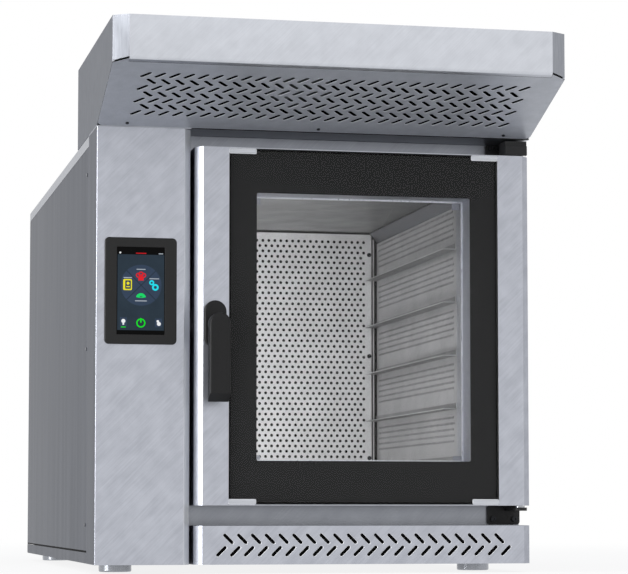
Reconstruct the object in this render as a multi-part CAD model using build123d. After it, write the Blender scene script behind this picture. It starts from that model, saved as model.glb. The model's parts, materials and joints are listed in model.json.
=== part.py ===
from build123d import *
import math
import os

# Pastry oven for five 400 x 600 trays, with a slotted hood over its door.
# Millimetres. X runs to the right, Y into the oven, Z up. The origin is the middle of the
# footprint, at the underside of the feet.

# Cabinet
width = 800
depth = 1300
height = 780
sheet = 1.5
bend = 2
seam = 0.5
fold = 15
skirt = 20
foot_height = 16
foot_diameter = 60
foot_bevel = 1.5
foot_inset = 60
front_foot_inset = 184
rear_foot_inset = 50
stud_diameter = 10
stud_length = 14
hole_play = 0.5
column_width = 170
column_wrap = 124
column_chamfer = 12
cover_screws = 3
screw_margin = 50
screw_setback = 19
screw_head = 1.6
cover_screw_diameter = 7

# Baking chamber
setback = 80
tray_space = 405
duct_gap = 26
duct_setback = 34
chamber_rise = 160
chamber_head = 91
chamber_reach = 680
fan_space = 138
gusset_width = 42
gusset_height = 52
gusset_sheet = 2
duct_roof_gap = 1.8
insulation = 45
side_air_gap = 34.5
levels = 5
level_pitch = 100
first_level = 25
ledge = 26
ledge_leg = 12
baffle_width = 384
baffle_gap = 4
baffle_screw_pitch = 217
baffle_screw_inset = 6
baffle_screw_diameter = 5.6
baffle_screw_head = 9
standoff_width = 8
cradle_width = 60
cradle_inset = 120
cradle_margin = 82.5

# Door
door_gap = 8
door_rise = 105
door_head = 32
door_depth = 62
door_chamfer = 14
door_border = 61
window_width = 397
window_head = 81
window_rise = 80
glass = 5
glass_recess = 1.5
inner_glass = 4
inner_glass_side_gap = 3.5
inner_glass_end_gap = 16.5
clip_length = 50
clip_height = 10
clip_thickness = 1.2
clip_corner = 2.5
holder_size = 24
holder_rim = 2.5
tunnel_rim = 12
gasket_width = 14
gasket_offset = 6
gasket_clearance = 0.3
gasket_corner = 8
gasket_bevel = 4
hinge_inset = 17
hinge_setback = 16
pin_diameter = 10
pin_fit = 0.05
pin_depth = 26
pin_collar = 18
bushing_diameter = 22
arm_width = 26
arm_thickness = 6
arm_gap = 3.5
hinge_plate = 6
hinge_plate_width = 62
hinge_plate_height = 34.5
hinge_plate_corner = 5
hinge_screw_diameter = 10.6
lower_screw_pitch = 41
hinge_screw_offset = 24.5
hinge_screw_inset = 10.5
hinge_screw_head = 4
hinge_screw_socket = 6
hinge_screw_socket_depth = 2
upper_screw_pitch = 14.5
hinge_cap_width = 41
hinge_cap_depth = 42
hinge_cap_gap = 1.7
hinge_cap_step = 3
washer = 0.4

# Handle and latch
pivot_inset = 35
pivot_rise = 321
base_width = 40
base_length = 85
base_thickness = 11
base_drop = 1.5
lever_width = 37
lever_length = 139
lever_thickness = 22
lever_reach = 63
lever_slant = 14
neck_diameter = 30
neck_gap = 0.3
handle_bevel = 2
spindle_diameter = 10
pawl_length = 33
pawl_width = 14
pawl_thickness = 6
pawl_gap = 1
keeper_pin = 10
keeper_gap = 0.6
keeper_width = 26
keeper_height = 44
keeper_corner = 4
keeper_thickness = 3

# Front panel below the door, and the slots of both grilles
vent_height = 69
slot_length = 24.5
slot_width = 5.5
slot_pitch = 25
slot_angle = 45
vent_slots = 22
vent_row_height = 23.7
vent_row_pitch = 22

# Hood
hood_overhang = 232.5
hood_back = 310
hood_height = 154
fascia_height = 76
hood_chamfer_width = 27
hood_chamfer_depth = 16.5
hood_bend = 6
hood_lip = 11
hood_slit = 2
hood_plate_corner = 12
hood_slots = 28
hood_rows = 7
hood_row_pitch = 23
hood_row_margin = 50.6
outlet_diameter = 120
outlet_rise = 40
outlet_drop = 60
outlet_setback = 165
outlet_flange = 150
hood_screw_margin = 52.5
hood_screw_setback = 12
hood_screw_diameter = 6
hood_motor_diameter = 40
hood_motor_length = 38
hood_motor_drop = 8
hood_arms = 3
hood_arm_width = 6
hood_ring_width = 3
hood_ring_height = 3
hood_spindle = 6
hood_spindle_depth = 28
hood_fan_diameter = 110
hood_fan_height = 22
hood_fan_hub = 44
hood_fan_blades = 7
hood_blade_thickness = 1.6
hood_blade_angle = 40
hub_overlap = 4
hood_play = 0.3

# Touch panel
bezel_width = 129
bezel_height = 190
bezel_inset = 15
bezel_rise = 390
bezel_thickness = 4
bezel_corner = 8
screen_width = 86
screen_height = 156
screen_recess = 1
screen_play = 0.2
bezel_bevel = 1.5
display_rim = 5.5
display_thickness = 12
board_gap = 6
board_thickness = 2
board_post = 6
chip_size = (28, 24)
chip_height = 6
chip_places = ((-28, 47), (23, 28), (-12, -38))

# Fan, heater and motor
fan_diameter = 300
fan_blades = 18
fan_blade_depth = 76
fan_blade_length = 46
fan_blade_angle = 35
fan_blade_thickness = 1.6
fan_blade_margin = 2
fan_plate = 2
fan_gap = 20
fan_hub_diameter = 50
fan_hub_front = 34
fan_hub_back = 8
fan_nut = 24
fan_nut_height = 10
shaft_diameter = 14
shaft_play = 4
heater_diameter = 350
heater_tube = 8
heater_pitch = 26
heater_setback = 10
heater_tie_angle = 30
motor_diameter = 140
motor_length = 170
motor_bevel = 12
motor_fins = 12
motor_fin_width = 6
motor_fin_height = 6
motor_fin_margin = 20
motor_plate_size = 220
motor_plate_thickness = 3

# Services
lamp_diameter = 56
lamp_setback = 70
lamp_offset = 120
lamp_drop = 8
lamp_rim = 7
lamp_rim_thickness = 2
lamp_wall = 4
lamp_seat = 20
lamp_bevel = 5
pipe_diameter = 50
pipe_setback = 130
pipe_offset = 100
pipe_rise = 45
pipe_rim = 10
pipe_rim_thickness = 2
pipe_collar = 74
gland_diameter = 32
gland_neck = 24
gland_nut = 26
gland_bore = 18
gland_hex_height = 8
gland_reach = 24
gland_depth = 14
gland_inset = 90
inlet_diameter = 26.4
inlet_neck = 21.4
inlet_body = 34.4
inlet_bore = 15
inlet_reach = 18
inlet_inset = 110
valve_neck_depth = 30
valve_depth = 70
valve_width = 36
valve_height = 40
service_rise = 110
rear_slots = 9
rear_slot_length = 110
rear_slot_width = 7
rear_slot_pitch = 20
rear_slot_inset = 200

# Electrical parts behind the column
plate_setback = 280
plate_length = 600
plate_height = 558.5
plate_foot = 40
plate_inset = 20
contactor_count = 3
contactor_pitch = 60
contactor_size = (80, 45, 80)
contactor_cap = (40, 35, 10)
contactor_rise = 340
power_board_size = (240, 180)
power_board_start = 280
power_board_rise = 300
relay_count = 5
relay_size = (26, 28, 30)
relay_pitch = 42
terminal_size = (40, 120, 50)
terminal_rise = 120
terminal_end = 50
terminal_ways = 5
terminal_slot = 12
terminal_slot_depth = 22
terminal_back = 10

# Places that follow from the sizes above
left = -width / 2
right = width / 2
front = -(depth + gland_reach - hood_overhang) / 2
back = front + depth
base = foot_height
top = base + height
column_right = left + column_width
frame_face = front + setback
door_left = column_right + door_gap
door_mid = (door_left + right) / 2
door_low = base + door_rise
door_high = top - door_head
door_back = front + door_depth
chamber_low = base + chamber_rise
chamber_high = top - chamber_head
chamber_mid = (chamber_low + chamber_high) / 2
duct_left = door_mid - tray_space / 2
duct_right = door_mid + tray_space / 2
chamber_left = duct_left - duct_gap
chamber_right = duct_right + duct_gap
cover_start = front + column_wrap + seam
skirt_start = frame_face + sheet + seam
collar_back = frame_face + duct_setback
baffle_face = frame_face + chamber_reach
fan_wall = baffle_face + sheet + fan_space
chamber_back = fan_wall + sheet
pin_x = right - hinge_inset
pin_y = front + hinge_setback
pivot_x = door_left + pivot_inset
pivot_z = door_low + pivot_rise
window_low = door_low + window_rise
window_high = door_high - window_head
outlet_y = front + outlet_setback
pipe_x = door_mid + pipe_offset
pipe_y = frame_face + pipe_setback
lamp_x = door_mid - lamp_offset
lamp_y = frame_face + lamp_setback

parts = {}


def block(x, y, z):
    """A solid between three pairs of limits."""
    size = [high - low for low, high in (x, y, z)]
    middle = [(high + low) / 2 for low, high in (x, y, z)]
    return Pos(*middle) * Box(*size)


def along_x(outline, x):
    """A Y-Z outline carried from x[0] to x[1]."""
    plane = Plane((x[0], 0, 0), x_dir=(0, 1, 0), z_dir=(1, 0, 0))
    return extrude(plane * outline, amount=x[1] - x[0])


def along_y(outline, y):
    """An X-Z outline carried from y[0] to y[1]."""
    plane = Plane((0, y[1], 0), x_dir=(1, 0, 0), z_dir=(0, -1, 0))
    return extrude(plane * outline, amount=y[1] - y[0])


def along_z(outline, z):
    """A plan outline carried from z[0] to z[1]."""
    return extrude(Pos(0, 0, z[0]) * outline, amount=z[1] - z[0])


def folded(points, side, radius=bend, thickness=sheet):
    """The edge view of sheet metal folded along the given corners of its outer face."""
    line = FilletPolyline(*points, radius=radius)
    return make_face(offset(line, amount=thickness, side=side).edges())


def rod(diameter, y, x, z):
    """A round bar along Y."""
    return along_y(Pos(x, z) * Circle(diameter / 2), y)


def post(diameter, z, x, y):
    """A round bar along Z."""
    return along_z(Pos(x, y) * Circle(diameter / 2), z)


def slot_row(count, turn, pitch=slot_pitch, length=slot_length, breadth=slot_width):
    """A row of equal slots about the origin, each turned by the same angle."""
    first = -(count - 1) * pitch / 2
    cut = Rot(0, 0, turn) * Rectangle(length, breadth)
    return [Pos(first + i * pitch, 0) * cut for i in range(count)]


def spread(first, last, count):
    """Evenly spaced places from first to last."""
    return [first + (last - first) * i / (count - 1) for i in range(count)]


# Cabinet

feet_x = (left + foot_inset, right - foot_inset)
feet_y = (front + front_foot_inset, back - rear_foot_inset)
feet_places = [(x, y) for x in feet_x for y in feet_y]


def feet():
    foot = post(foot_diameter, (0, foot_height), 0, 0)
    foot = chamfer(foot.edges().group_by(Axis.Z)[0], foot_bevel)
    foot += post(stud_diameter, (foot_height, foot_height + stud_length), 0, 0)
    return [Pos(x, y, 0) * foot for x, y in feet_places]


def base_pan():
    """The floor of the cabinet, with skirts folded up at both sides and at the back."""
    corners = [(left, base + skirt), (left, base), (right, base), (right, base + skirt)]
    tray = along_y(folded(corners, Side.LEFT), (skirt_start, back))
    # The control column takes the left skirt's place at the front.
    tray -= block((left, left + bend), (front, cover_start), (base, top))
    tray += block((left + bend, right), (frame_face, skirt_start + bend), (base, base + sheet))
    tray += block((left + fold, right - fold), (back - sheet, back), (base, base + skirt))
    for x, y in feet_places:
        tray -= post(stud_diameter + 2 * hole_play, (0, base + fold), x, y)
    return tray


def control_column():
    inner = column_right - column_chamfer
    corners = [
        (left, front + column_wrap),
        (left, front),
        (inner, front),
        (column_right, front + column_chamfer),
        (column_right, frame_face),
    ]
    casing = along_z(folded(corners, Side.LEFT), (base, top - sheet))
    rim = 2 * (display_rim + hole_play)
    opening = Pos(bezel_x, bezel_z) * Rectangle(screen_width + rim, screen_height + rim)
    return casing - along_y(opening, (front, front + sheet))


def side_cover(x_side, start):
    """A removable side cover, folded inwards at its front and rear edges."""
    inward = x_side - math.copysign(fold, x_side)
    corners = [(inward, start), (x_side, start), (x_side, back), (inward, back)]
    metal_side = Side.LEFT if x_side > 0 else Side.RIGHT
    return along_z(folded(corners, metal_side), (base + skirt + seam, top - skirt - seam))


def cover_screw_places():
    return spread(base + screw_margin + skirt, top - screw_margin - skirt, cover_screws)


def side_screws():
    heads = []
    for x_side, start in ((left, cover_start), (right, skirt_start)):
        out = math.copysign(screw_head, x_side)
        limits = sorted((x_side, x_side + out))
        for z in cover_screw_places():
            head = Pos(start + screw_setback, z) * Circle(cover_screw_diameter / 2)
            heads.append(along_x(head, limits))
    return heads


def top_cover():
    corners = [(left, top - skirt), (left, top), (right, top), (right, top - skirt)]
    lid = along_y(folded(corners, Side.RIGHT), (skirt_start, back))
    lid -= block((left, left + bend), (front, cover_start), (base, top))
    lid += block((left, right), (front, cover_start + bend), (top - sheet, top))
    lid += block((left + fold, right - fold), (back - sheet, back), (top - skirt, top))
    return lid - post(pipe_diameter + 2 * hole_play, (base, top), pipe_x, pipe_y)


def rear_panel():
    x = (left + fold + seam, right - fold - seam)
    z = (base + skirt + seam, top - skirt - seam)
    panel = block(x, (back - sheet, back), z)
    slots = [Pos(0, row * rear_slot_pitch) * Rectangle(rear_slot_length, rear_slot_width)
             for row in range(rear_slots)]
    for x_slots in (left + rear_slot_inset, right - rear_slot_inset):
        for slot in slots:
            panel -= along_y(Pos(x_slots, chamber_mid) * slot, (back - sheet, back))
    panel -= rod(gland_neck, (front, back), gland_x, service_z)
    return panel - rod(inlet_neck, (front, back), inlet_x, service_z)


def front_frame():
    mouth_x = (duct_left, duct_right)
    mouth_z = (chamber_low + sheet + seam, chamber_high - sheet - seam)
    outside_x = (duct_left - sheet, duct_right + sheet)
    outside_z = (mouth_z[0] - sheet, mouth_z[1] + sheet)
    face = (frame_face, frame_face + sheet)
    plate = block((column_right - sheet, right), face, (base + sheet, top - sheet))
    collar = block(outside_x, (frame_face, collar_back), outside_z)
    return plate + collar - block(mouth_x, (front, back), mouth_z)


# Baking chamber

def chamber():
    """Ceiling, floor, two walls and the rear wall, welded edge to edge."""
    z = (chamber_low, chamber_high)
    y = (frame_face + sheet, fan_wall)
    outer_x = (chamber_left - sheet, chamber_right + sheet)
    outer_z = (z[0] - sheet, z[1] + sheet)
    ceiling = block(outer_x, y, (z[1], outer_z[1]))
    ceiling -= post(lamp_diameter + 2 * hole_play, (chamber_mid, top), lamp_x, lamp_y)
    ceiling -= post(pipe_diameter + 2 * hole_play, (chamber_mid, top), pipe_x, pipe_y)
    floor = block(outer_x, y, (outer_z[0], z[0]))
    rear_wall = block(outer_x, (fan_wall, chamber_back), outer_z)
    rear_wall -= rod(shaft_diameter + 2 * shaft_play, (front, back), door_mid, chamber_mid)
    right_wall = block((chamber_right, outer_x[1]), y, z)
    # A sloping strip closes the air duct behind each side panel at the ceiling.
    strip = duct_roof(0) - duct_roof(-gusset_sheet)
    return [ceiling, floor, rear_wall, right_wall, mirrored(right_wall), strip, mirrored(strip)]


def chamber_insulation():
    x = (chamber_left - sheet, chamber_right + sheet)
    z = (chamber_low - sheet, chamber_high + sheet)
    y = (frame_face + sheet, chamber_back)
    side = right - sheet - side_air_gap - door_mid
    wide = (door_mid - side, door_mid + side)
    roof = block(wide, y, (z[1], z[1] + insulation))
    roof -= post(lamp_diameter + 2 * hole_play, (base, top), lamp_x, lamp_y)
    roof -= post(pipe_diameter + 2 * hole_play, (base, top), pipe_x, pipe_y)
    end = block(wide, (y[1], y[1] + insulation), (z[0] - insulation, z[1] + insulation))
    end -= rod(shaft_diameter + 2 * shaft_play, (front, back), door_mid, chamber_mid)
    return [
        roof,
        block(wide, y, (z[0] - insulation, z[0])),
        block((wide[0], x[0]), y, z),
        block((x[1], wide[1]), y, z),
        end,
    ]


def chamber_cradle():
    """Two channels that carry the chamber on the base pan."""
    low, high = base + sheet, chamber_low - sheet - insulation
    half = cradle_width / 2
    rails = []
    for y in (frame_face + cradle_inset, chamber_back - cradle_inset):
        corners = [(y - half, low), (y - half, high), (y + half, high), (y + half, low)]
        channel = folded(corners, Side.RIGHT)
        rails.append(along_x(channel, (chamber_left, right - cradle_margin)))
    return rails


def duct_roof(drop):
    """The corner above the sloping strip, lowered by the given amount."""
    peak, foot = chamber_high - drop, chamber_high - gusset_height - drop
    points = [(chamber_right - gusset_width, peak), (chamber_right, foot), (chamber_right, peak)]
    corner = make_face(Polyline(*points, close=True))
    return along_y(corner, (collar_back, baffle_face))


def right_duct():
    """The panel that blows air over the trays, cut to the slope of the strip above it."""
    corners = [
        (duct_right + fold, collar_back + seam),
        (duct_right, collar_back + seam),
        (duct_right, baffle_face - seam),
        (duct_right + fold, baffle_face - seam),
    ]
    high = chamber_high - (gusset_width - duct_gap) * gusset_height / gusset_width
    panel = along_z(folded(corners, Side.RIGHT), (chamber_low, high))
    return panel - duct_roof(duct_roof_gap)


def right_runners():
    """Each runner is a ledge, welded to an upright strip on the duct panel."""
    y = (collar_back + seam, baffle_face - seam)
    rails = []
    for level in range(levels):
        z = chamber_low + first_level + level * level_pitch
        rails.append(block((duct_right - ledge, duct_right), y, (z, z + sheet)))
        rails.append(block((duct_right - sheet, duct_right), y, (z + sheet, z + ledge_leg)))
    return rails


def mirrored(shapes):
    return mirror(shapes, Plane.YZ.offset(door_mid))


def rear_baffle():
    x = (door_mid - baffle_width / 2, door_mid + baffle_width / 2)
    corners = [
        (x[1], baffle_face + fold),
        (x[1], baffle_face),
        (x[0], baffle_face),
        (x[0], baffle_face + fold),
    ]
    plate = along_z(folded(corners, Side.RIGHT), (chamber_low, chamber_high - baffle_gap))
    for x_screw, z in baffle_places():
        plate -= rod(baffle_screw_diameter, (baffle_face, baffle_face + sheet), x_screw, z)
    return plate


def baffle_places():
    half = baffle_width / 2 - baffle_screw_inset
    rows = [chamber_mid + step * baffle_screw_pitch for step in (-1, 0, 1)]
    return [(x, z) for x in (door_mid - half, door_mid + half) for z in rows]


def baffle_screws():
    """Screws through the baffle, each into a hexagonal stand-off on the rear wall."""
    screws = []
    for x, z in baffle_places():
        standoff = Pos(x, z) * RegularPolygon(standoff_width / 2, 6)
        screw = along_y(standoff, (baffle_face + sheet, fan_wall))
        screw += rod(baffle_screw_diameter, (baffle_face, baffle_face + sheet), x, z)
        screw += rod(baffle_screw_head, (baffle_face - screw_head, baffle_face), x, z)
        screws.append(screw)
    return screws


def lamp_holder():
    """A cup through the ceiling and its insulation, with a rim below the ceiling."""
    rim = (chamber_high - lamp_rim_thickness, chamber_high)
    cup = post(lamp_diameter, (rim[0], chamber_high + insulation), lamp_x, lamp_y)
    cup += post(lamp_diameter + 2 * lamp_rim, rim, lamp_x, lamp_y)
    bore = lamp_diameter - 2 * lamp_wall
    return cup - post(bore, (rim[0], chamber_high + lamp_seat), lamp_x, lamp_y)


def lamp_glass():
    z = (chamber_high - lamp_drop, chamber_high + lamp_seat)
    lens = post(lamp_diameter - 2 * lamp_wall, z, lamp_x, lamp_y)
    return chamfer(lens.edges().group_by(Axis.Z)[0], lamp_bevel)


def steam_pipe():
    """The vapour pipe from the ceiling up through the top cover, into the hood."""
    low, high = chamber_high - pipe_rim_thickness, top + pipe_rise
    pipe = post(pipe_diameter, (low, high), pipe_x, pipe_y)
    pipe += post(pipe_diameter + 2 * pipe_rim, (low, chamber_high), pipe_x, pipe_y)
    pipe += post(pipe_collar, (top, top + sheet), pipe_x, pipe_y)
    return pipe - post(pipe_diameter - 2 * sheet, (low, high), pipe_x, pipe_y)


# Fan, heater and motor

fan_back = fan_wall - fan_gap
fan_front = fan_back - fan_plate - fan_blade_depth
hub_front = fan_back - fan_hub_front
motor_face = chamber_back + insulation + motor_plate_thickness
shaft_end = motor_face + motor_length / 2


def fan_impeller():
    """A back plate and a front ring joined by slanted blades, round a hub."""
    outer = fan_diameter / 2
    middle = outer - fan_blade_length / 2
    blade_length = fan_blade_length - 2 * fan_blade_margin
    wheel = rod(fan_diameter, (fan_back - fan_plate, fan_back), 0, 0)
    ring = Circle(outer) - Circle(outer - fan_blade_length)
    wheel += along_y(ring, (fan_front - fan_plate, fan_front))
    blade = Rot(0, 0, fan_blade_angle) * Rectangle(blade_length, fan_blade_thickness)
    blade = Pos(middle, 0) * blade
    blade = along_y(blade, (fan_front, fan_back - fan_plate))
    for turn in range(fan_blades):
        wheel += Rot(0, turn * 360 / fan_blades, 0) * blade
    wheel += rod(fan_hub_diameter, (hub_front, fan_back + fan_hub_back), 0, 0)
    wheel -= rod(shaft_diameter, (front, back), 0, 0)
    return Pos(door_mid, 0, chamber_mid) * wheel


def fan_shaft():
    shaft = rod(shaft_diameter, (hub_front - fan_nut_height, shaft_end), 0, 0)
    nut = along_y(RegularPolygon(fan_nut / 2, 6), (hub_front - fan_nut_height, hub_front))
    return Pos(door_mid, 0, chamber_mid) * (shaft + nut)


def ring_heater():
    """Two turns of tubular heater round the impeller, on terminals through the rear wall."""
    ring = Circle(heater_diameter / 2) - Circle(heater_diameter / 2 - heater_tube)
    first = fan_front + heater_setback
    second = first + heater_pitch
    coil = along_y(ring, (first, first + heater_tube)) + along_y(ring, (second, second + heater_tube))
    tie = rod(heater_tube, (first, fan_wall), (heater_diameter - heater_tube) / 2, 0)
    for step in (-1, 0, 1):
        coil += Rot(0, step * heater_tie_angle, 0) * tie
    return Pos(door_mid, 0, chamber_mid) * coil


def motor_plate():
    half = motor_plate_size / 2
    y = (chamber_back + insulation, motor_face)
    plate = block((door_mid - half, door_mid + half), y, (chamber_mid - half, chamber_mid + half))
    return plate - rod(shaft_diameter + 2 * shaft_play, y, door_mid, chamber_mid)


def fan_motor():
    end = motor_face + motor_length
    body = rod(motor_diameter, (motor_face, end), 0, 0)
    body = chamfer(body.edges().group_by(Axis.Y)[-1], motor_bevel)
    fin_x = (-motor_fin_width / 2, motor_fin_width / 2)
    fin_y = (motor_face + motor_fin_margin, end - motor_fin_margin)
    fin = block(fin_x, fin_y, (0, motor_diameter / 2 + motor_fin_height))
    for turn in range(motor_fins):
        body += Rot(0, (turn + 0.5) * 360 / motor_fins, 0) * fin
    bore = rod(shaft_diameter + 2 * pin_fit, (motor_face, shaft_end + seam), 0, 0)
    return Pos(door_mid, 0, chamber_mid) * (body - bore)


# Door

def door_outline(inset=0):
    """The plan of the door, with both front corners bevelled."""
    x0, x1 = door_left + inset, right - inset
    y0, y1 = front + inset, door_back - sheet
    slope = inset * (math.sqrt(2) - 1)
    cut = door_chamfer + slope - inset
    points = [(x0, y1), (x0, y0 + cut), (x0 + cut, y0), (x1 - cut, y0), (x1, y0 + cut), (x1, y1)]
    return make_face(Polyline(*points, close=True))


glass_x = (door_left + door_border, right - door_border)
glass_z = (door_low + glass_recess, door_high - glass_recess)
window_x = (door_mid - window_width / 2, door_mid + window_width / 2)
pane_y = (front + glass_recess, front + glass_recess + glass)
gasket_rise = gasket_offset - sheet
gasket_opening = (tray_space + 2 * gasket_offset, chamber_high - chamber_low + 2 * gasket_rise)
inner_glass_width = gasket_opening[0] - 2 * inner_glass_side_gap
inner_glass_height = gasket_opening[1] - 2 * inner_glass_end_gap


def door_shell():
    """The folded steel skin of the door: sides, top, bottom and the two front strips."""
    skin = along_z(door_outline(), (door_low, door_high))
    skin -= along_z(door_outline(sheet), (door_low + sheet, door_high - sheet))
    hollow_x = (door_left + sheet, right - sheet)
    hollow_z = (door_low + sheet, door_high - sheet)
    skin -= block(hollow_x, (front + door_chamfer, door_back), hollow_z)
    skin -= block(glass_x, (front, front + door_chamfer), glass_z)
    skin -= rod(spindle_diameter + 2 * hole_play, (front, door_back), pivot_x, pivot_z)
    return skin - post(pin_diameter + 2 * hole_play, (base, top), pin_x, pin_y)


def door_inner_panel():
    """The door's steel back, with a tunnel round the window that carries the outer glass."""
    y = (door_back - sheet, door_back)
    panel = block((door_left, right), y, (door_low, door_high))
    tunnel_y = (pane_y[1], door_back)
    x = (window_x[0] - sheet, window_x[1] + sheet)
    z = (window_low - sheet, window_high + sheet)
    panel += block(x, tunnel_y, z)
    lip_x = (x[0] - tunnel_rim, x[1] + tunnel_rim)
    lip_z = (z[0] - tunnel_rim, z[1] + tunnel_rim)
    panel += block(lip_x, (pane_y[1], pane_y[1] + sheet), lip_z)
    panel -= block(window_x, (front, back), (window_low, window_high))
    return panel - rod(spindle_diameter + 2 * hole_play, y, pivot_x, pivot_z)


def door_outer_glass():
    x = (glass_x[0] + seam, glass_x[1] - seam)
    z = (glass_z[0] + seam, glass_z[1] - seam)
    return block(x, pane_y, z)


def door_inner_glass():
    x = (door_mid - inner_glass_width / 2, door_mid + inner_glass_width / 2)
    z = (chamber_mid - inner_glass_height / 2, chamber_mid + inner_glass_height / 2)
    return block(x, (door_back, door_back + inner_glass), z)


def glass_clips():
    """Four corner clips, each a short strip over the edge of the outer glass."""
    clips = []
    y = (front, front + clip_thickness)
    for x_side in (-1, 1):
        for z_side in (-1, 1):
            x_edge = glass_x[0] if x_side < 0 else glass_x[1]
            z_edge = glass_z[0] if z_side < 0 else glass_z[1]
            strip = Rectangle(clip_length, clip_height)
            strip = fillet(strip.vertices(), clip_corner)
            x = x_edge - x_side * clip_length / 2
            z = z_edge - z_side * clip_height / 2
            clips.append(along_y(Pos(x, z) * strip, y))
    return clips


def inner_glass_holders():
    """Four small angle pieces that hold the inner glass by its corners."""
    holders = []
    for x_side in (-1, 1):
        for z_side in (-1, 1):
            x = door_mid + x_side * (inner_glass_width / 2)
            z = chamber_mid + z_side * (inner_glass_height / 2)
            x_out = sorted((x + x_side * holder_rim, x - x_side * holder_size))
            z_out = sorted((z + z_side * holder_rim, z - z_side * holder_size))
            plate = block(x_out, (door_back, door_back + inner_glass + clip_thickness), z_out)
            glass_room_x = sorted((x, x - x_side * inner_glass_width))
            glass_room_z = sorted((z, z - z_side * inner_glass_height))
            plate -= block(glass_room_x, (door_back, door_back + inner_glass), glass_room_z)
            holders.append(plate)
    return holders


def door_gasket():
    """A soft hollow lip round the chamber mouth, pressed lightly by the closed door."""
    outer = [size + 2 * gasket_width for size in gasket_opening]
    corner = gasket_corner + gasket_width
    ring = RectangleRounded(*outer, corner) - RectangleRounded(*gasket_opening, gasket_corner)
    y = (door_back + gasket_clearance, frame_face)
    seal = along_y(Pos(door_mid, chamber_mid) * ring, y)
    return chamfer(seal.edges().group_by(Axis.Y)[0], gasket_bevel)


# Hinges

def arm_outline():
    """The plan of a hinge arm: a straight bar with a round nose about the pin."""
    bar = Pos(pin_x, (pin_y + frame_face) / 2) * Rectangle(arm_width, frame_face - pin_y)
    return bar + Pos(pin_x, pin_y) * Circle(arm_width / 2)


def hinge_bracket(arm_z, plate_z):
    plate = Pos(right - hinge_plate_width / 2, sum(plate_z) / 2)
    plate *= RectangleRounded(hinge_plate_width, plate_z[1] - plate_z[0], hinge_plate_corner)
    bracket = along_y(plate, (frame_face - hinge_plate, frame_face))
    bracket += along_z(arm_outline(), arm_z)
    return bracket - post(pin_diameter, arm_z, pin_x, pin_y)


lower_arm_z = (door_low - arm_gap - arm_thickness, door_low - arm_gap)
upper_arm_z = (door_high + arm_gap, door_high + arm_gap + arm_thickness)
lower_plate_z = (door_low - hinge_plate_height, door_low)
upper_plate_z = (door_high, top - sheet)


def hinge_pins():
    """One pin from each arm into the door, each with a collar that fills the gap to it."""
    lower = post(pin_diameter, (lower_arm_z[0], door_low + pin_depth), pin_x, pin_y)
    upper = post(pin_diameter, (door_high - pin_depth, upper_arm_z[1]), pin_x, pin_y)
    lower += post(pin_collar, (lower_arm_z[1], door_low - washer), pin_x, pin_y)
    upper += post(pin_collar, (door_high + washer, upper_arm_z[0]), pin_x, pin_y)
    return [lower, upper]


def hinge_screws():
    """Socket screws: two below the door, and two beside the cap above it."""
    reach = (frame_face - hinge_plate - hinge_screw_head, frame_face - hinge_plate)
    head = rod(hinge_screw_diameter, reach, 0, 0)
    socket = RegularPolygon(hinge_screw_socket / 2, 6)
    head -= along_y(socket, (reach[0], reach[0] + hinge_screw_socket_depth))
    x = right - hinge_plate_width + hinge_screw_inset
    low, high = door_low - hinge_screw_offset, door_high + hinge_screw_offset
    places = [(x, low), (x + lower_screw_pitch, low), (x, high), (x + upper_screw_pitch, high)]
    return [Pos(x_screw, 0, z_screw) * head for x_screw, z_screw in places]


def upper_hinge_cap():
    """The black cap over the nose of the upper arm, stepped back along its top."""
    x = (pin_x + arm_width / 2 - hinge_cap_width, pin_x + arm_width / 2)
    y = (front, front + hinge_cap_depth)
    z = (door_high + hinge_cap_gap, top - sheet - hinge_cap_step)
    cap = block(x, y, z)
    notch_y = (front, front + hinge_cap_step)
    cap -= block(x, notch_y, (z[1] - arm_thickness - hinge_cap_step, z[1]))
    pocket = (z[0], upper_arm_z[1])
    cap -= along_z(offset(arm_outline(), amount=seam / 2), pocket)
    return cap - post(pin_collar + seam, (z[0], upper_arm_z[0]), pin_x, pin_y)


def hinge_bushings():
    """Plain bearings inside the door, round the lower and the upper pin."""
    rings = []
    lower_z = (door_low + sheet, door_low + pin_depth)
    upper_z = (door_high - pin_depth, door_high - sheet)
    for z in (lower_z, upper_z):
        ring = post(bushing_diameter, z, pin_x, pin_y)
        rings.append(ring - post(pin_diameter + 2 * pin_fit, z, pin_x, pin_y))
    return rings


# Handle and latch

lever_y = (front - lever_reach, front - lever_reach + lever_thickness)
neck_end = front - base_thickness - neck_gap


def handle_base():
    outline = SlotOverall(base_length, base_width, rotation=90)
    plate = along_y(Pos(pivot_x, pivot_z + base_drop) * outline, (front - base_thickness, front))
    plate = chamfer(plate.edges().group_by(Axis.Y)[0], handle_bevel)
    return plate - rod(spindle_diameter + 2 * pin_fit, (lever_y[0], front), pivot_x, pivot_z)


def door_lever():
    half = lever_width / 2
    grip = Rectangle(lever_width, lever_length, align=(Align.CENTER, Align.MAX)) + Circle(half)
    grip = along_y(grip, lever_y)
    grip = chamfer(grip.edges().group_by(Axis.Y)[0], handle_bevel)
    tip = (lever_y[0], lever_slant - lever_length)
    wedge = Polyline(tip, (lever_y[0], -lever_length), (lever_y[1], -lever_length), close=True)
    grip -= along_x(make_face(wedge), (-half, half))
    grip += rod(neck_diameter, (lever_y[1], neck_end), 0, 0)
    return Pos(pivot_x, 0, pivot_z) * grip


def handle_spindle():
    return rod(spindle_diameter, (neck_end, pawl_y[1]), pivot_x, pivot_z)


pawl_y = (door_back + pawl_gap, door_back + pawl_gap + pawl_thickness)


def latch_pawl():
    arm = Rectangle(pawl_length, pawl_width, align=(Align.MAX, Align.CENTER))
    arm += Circle(pawl_width / 2) + Pos(-pawl_length, 0) * Circle(pawl_width / 2)
    arm -= Circle(spindle_diameter / 2)
    return along_y(Pos(pivot_x, pivot_z) * arm, pawl_y)


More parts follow.
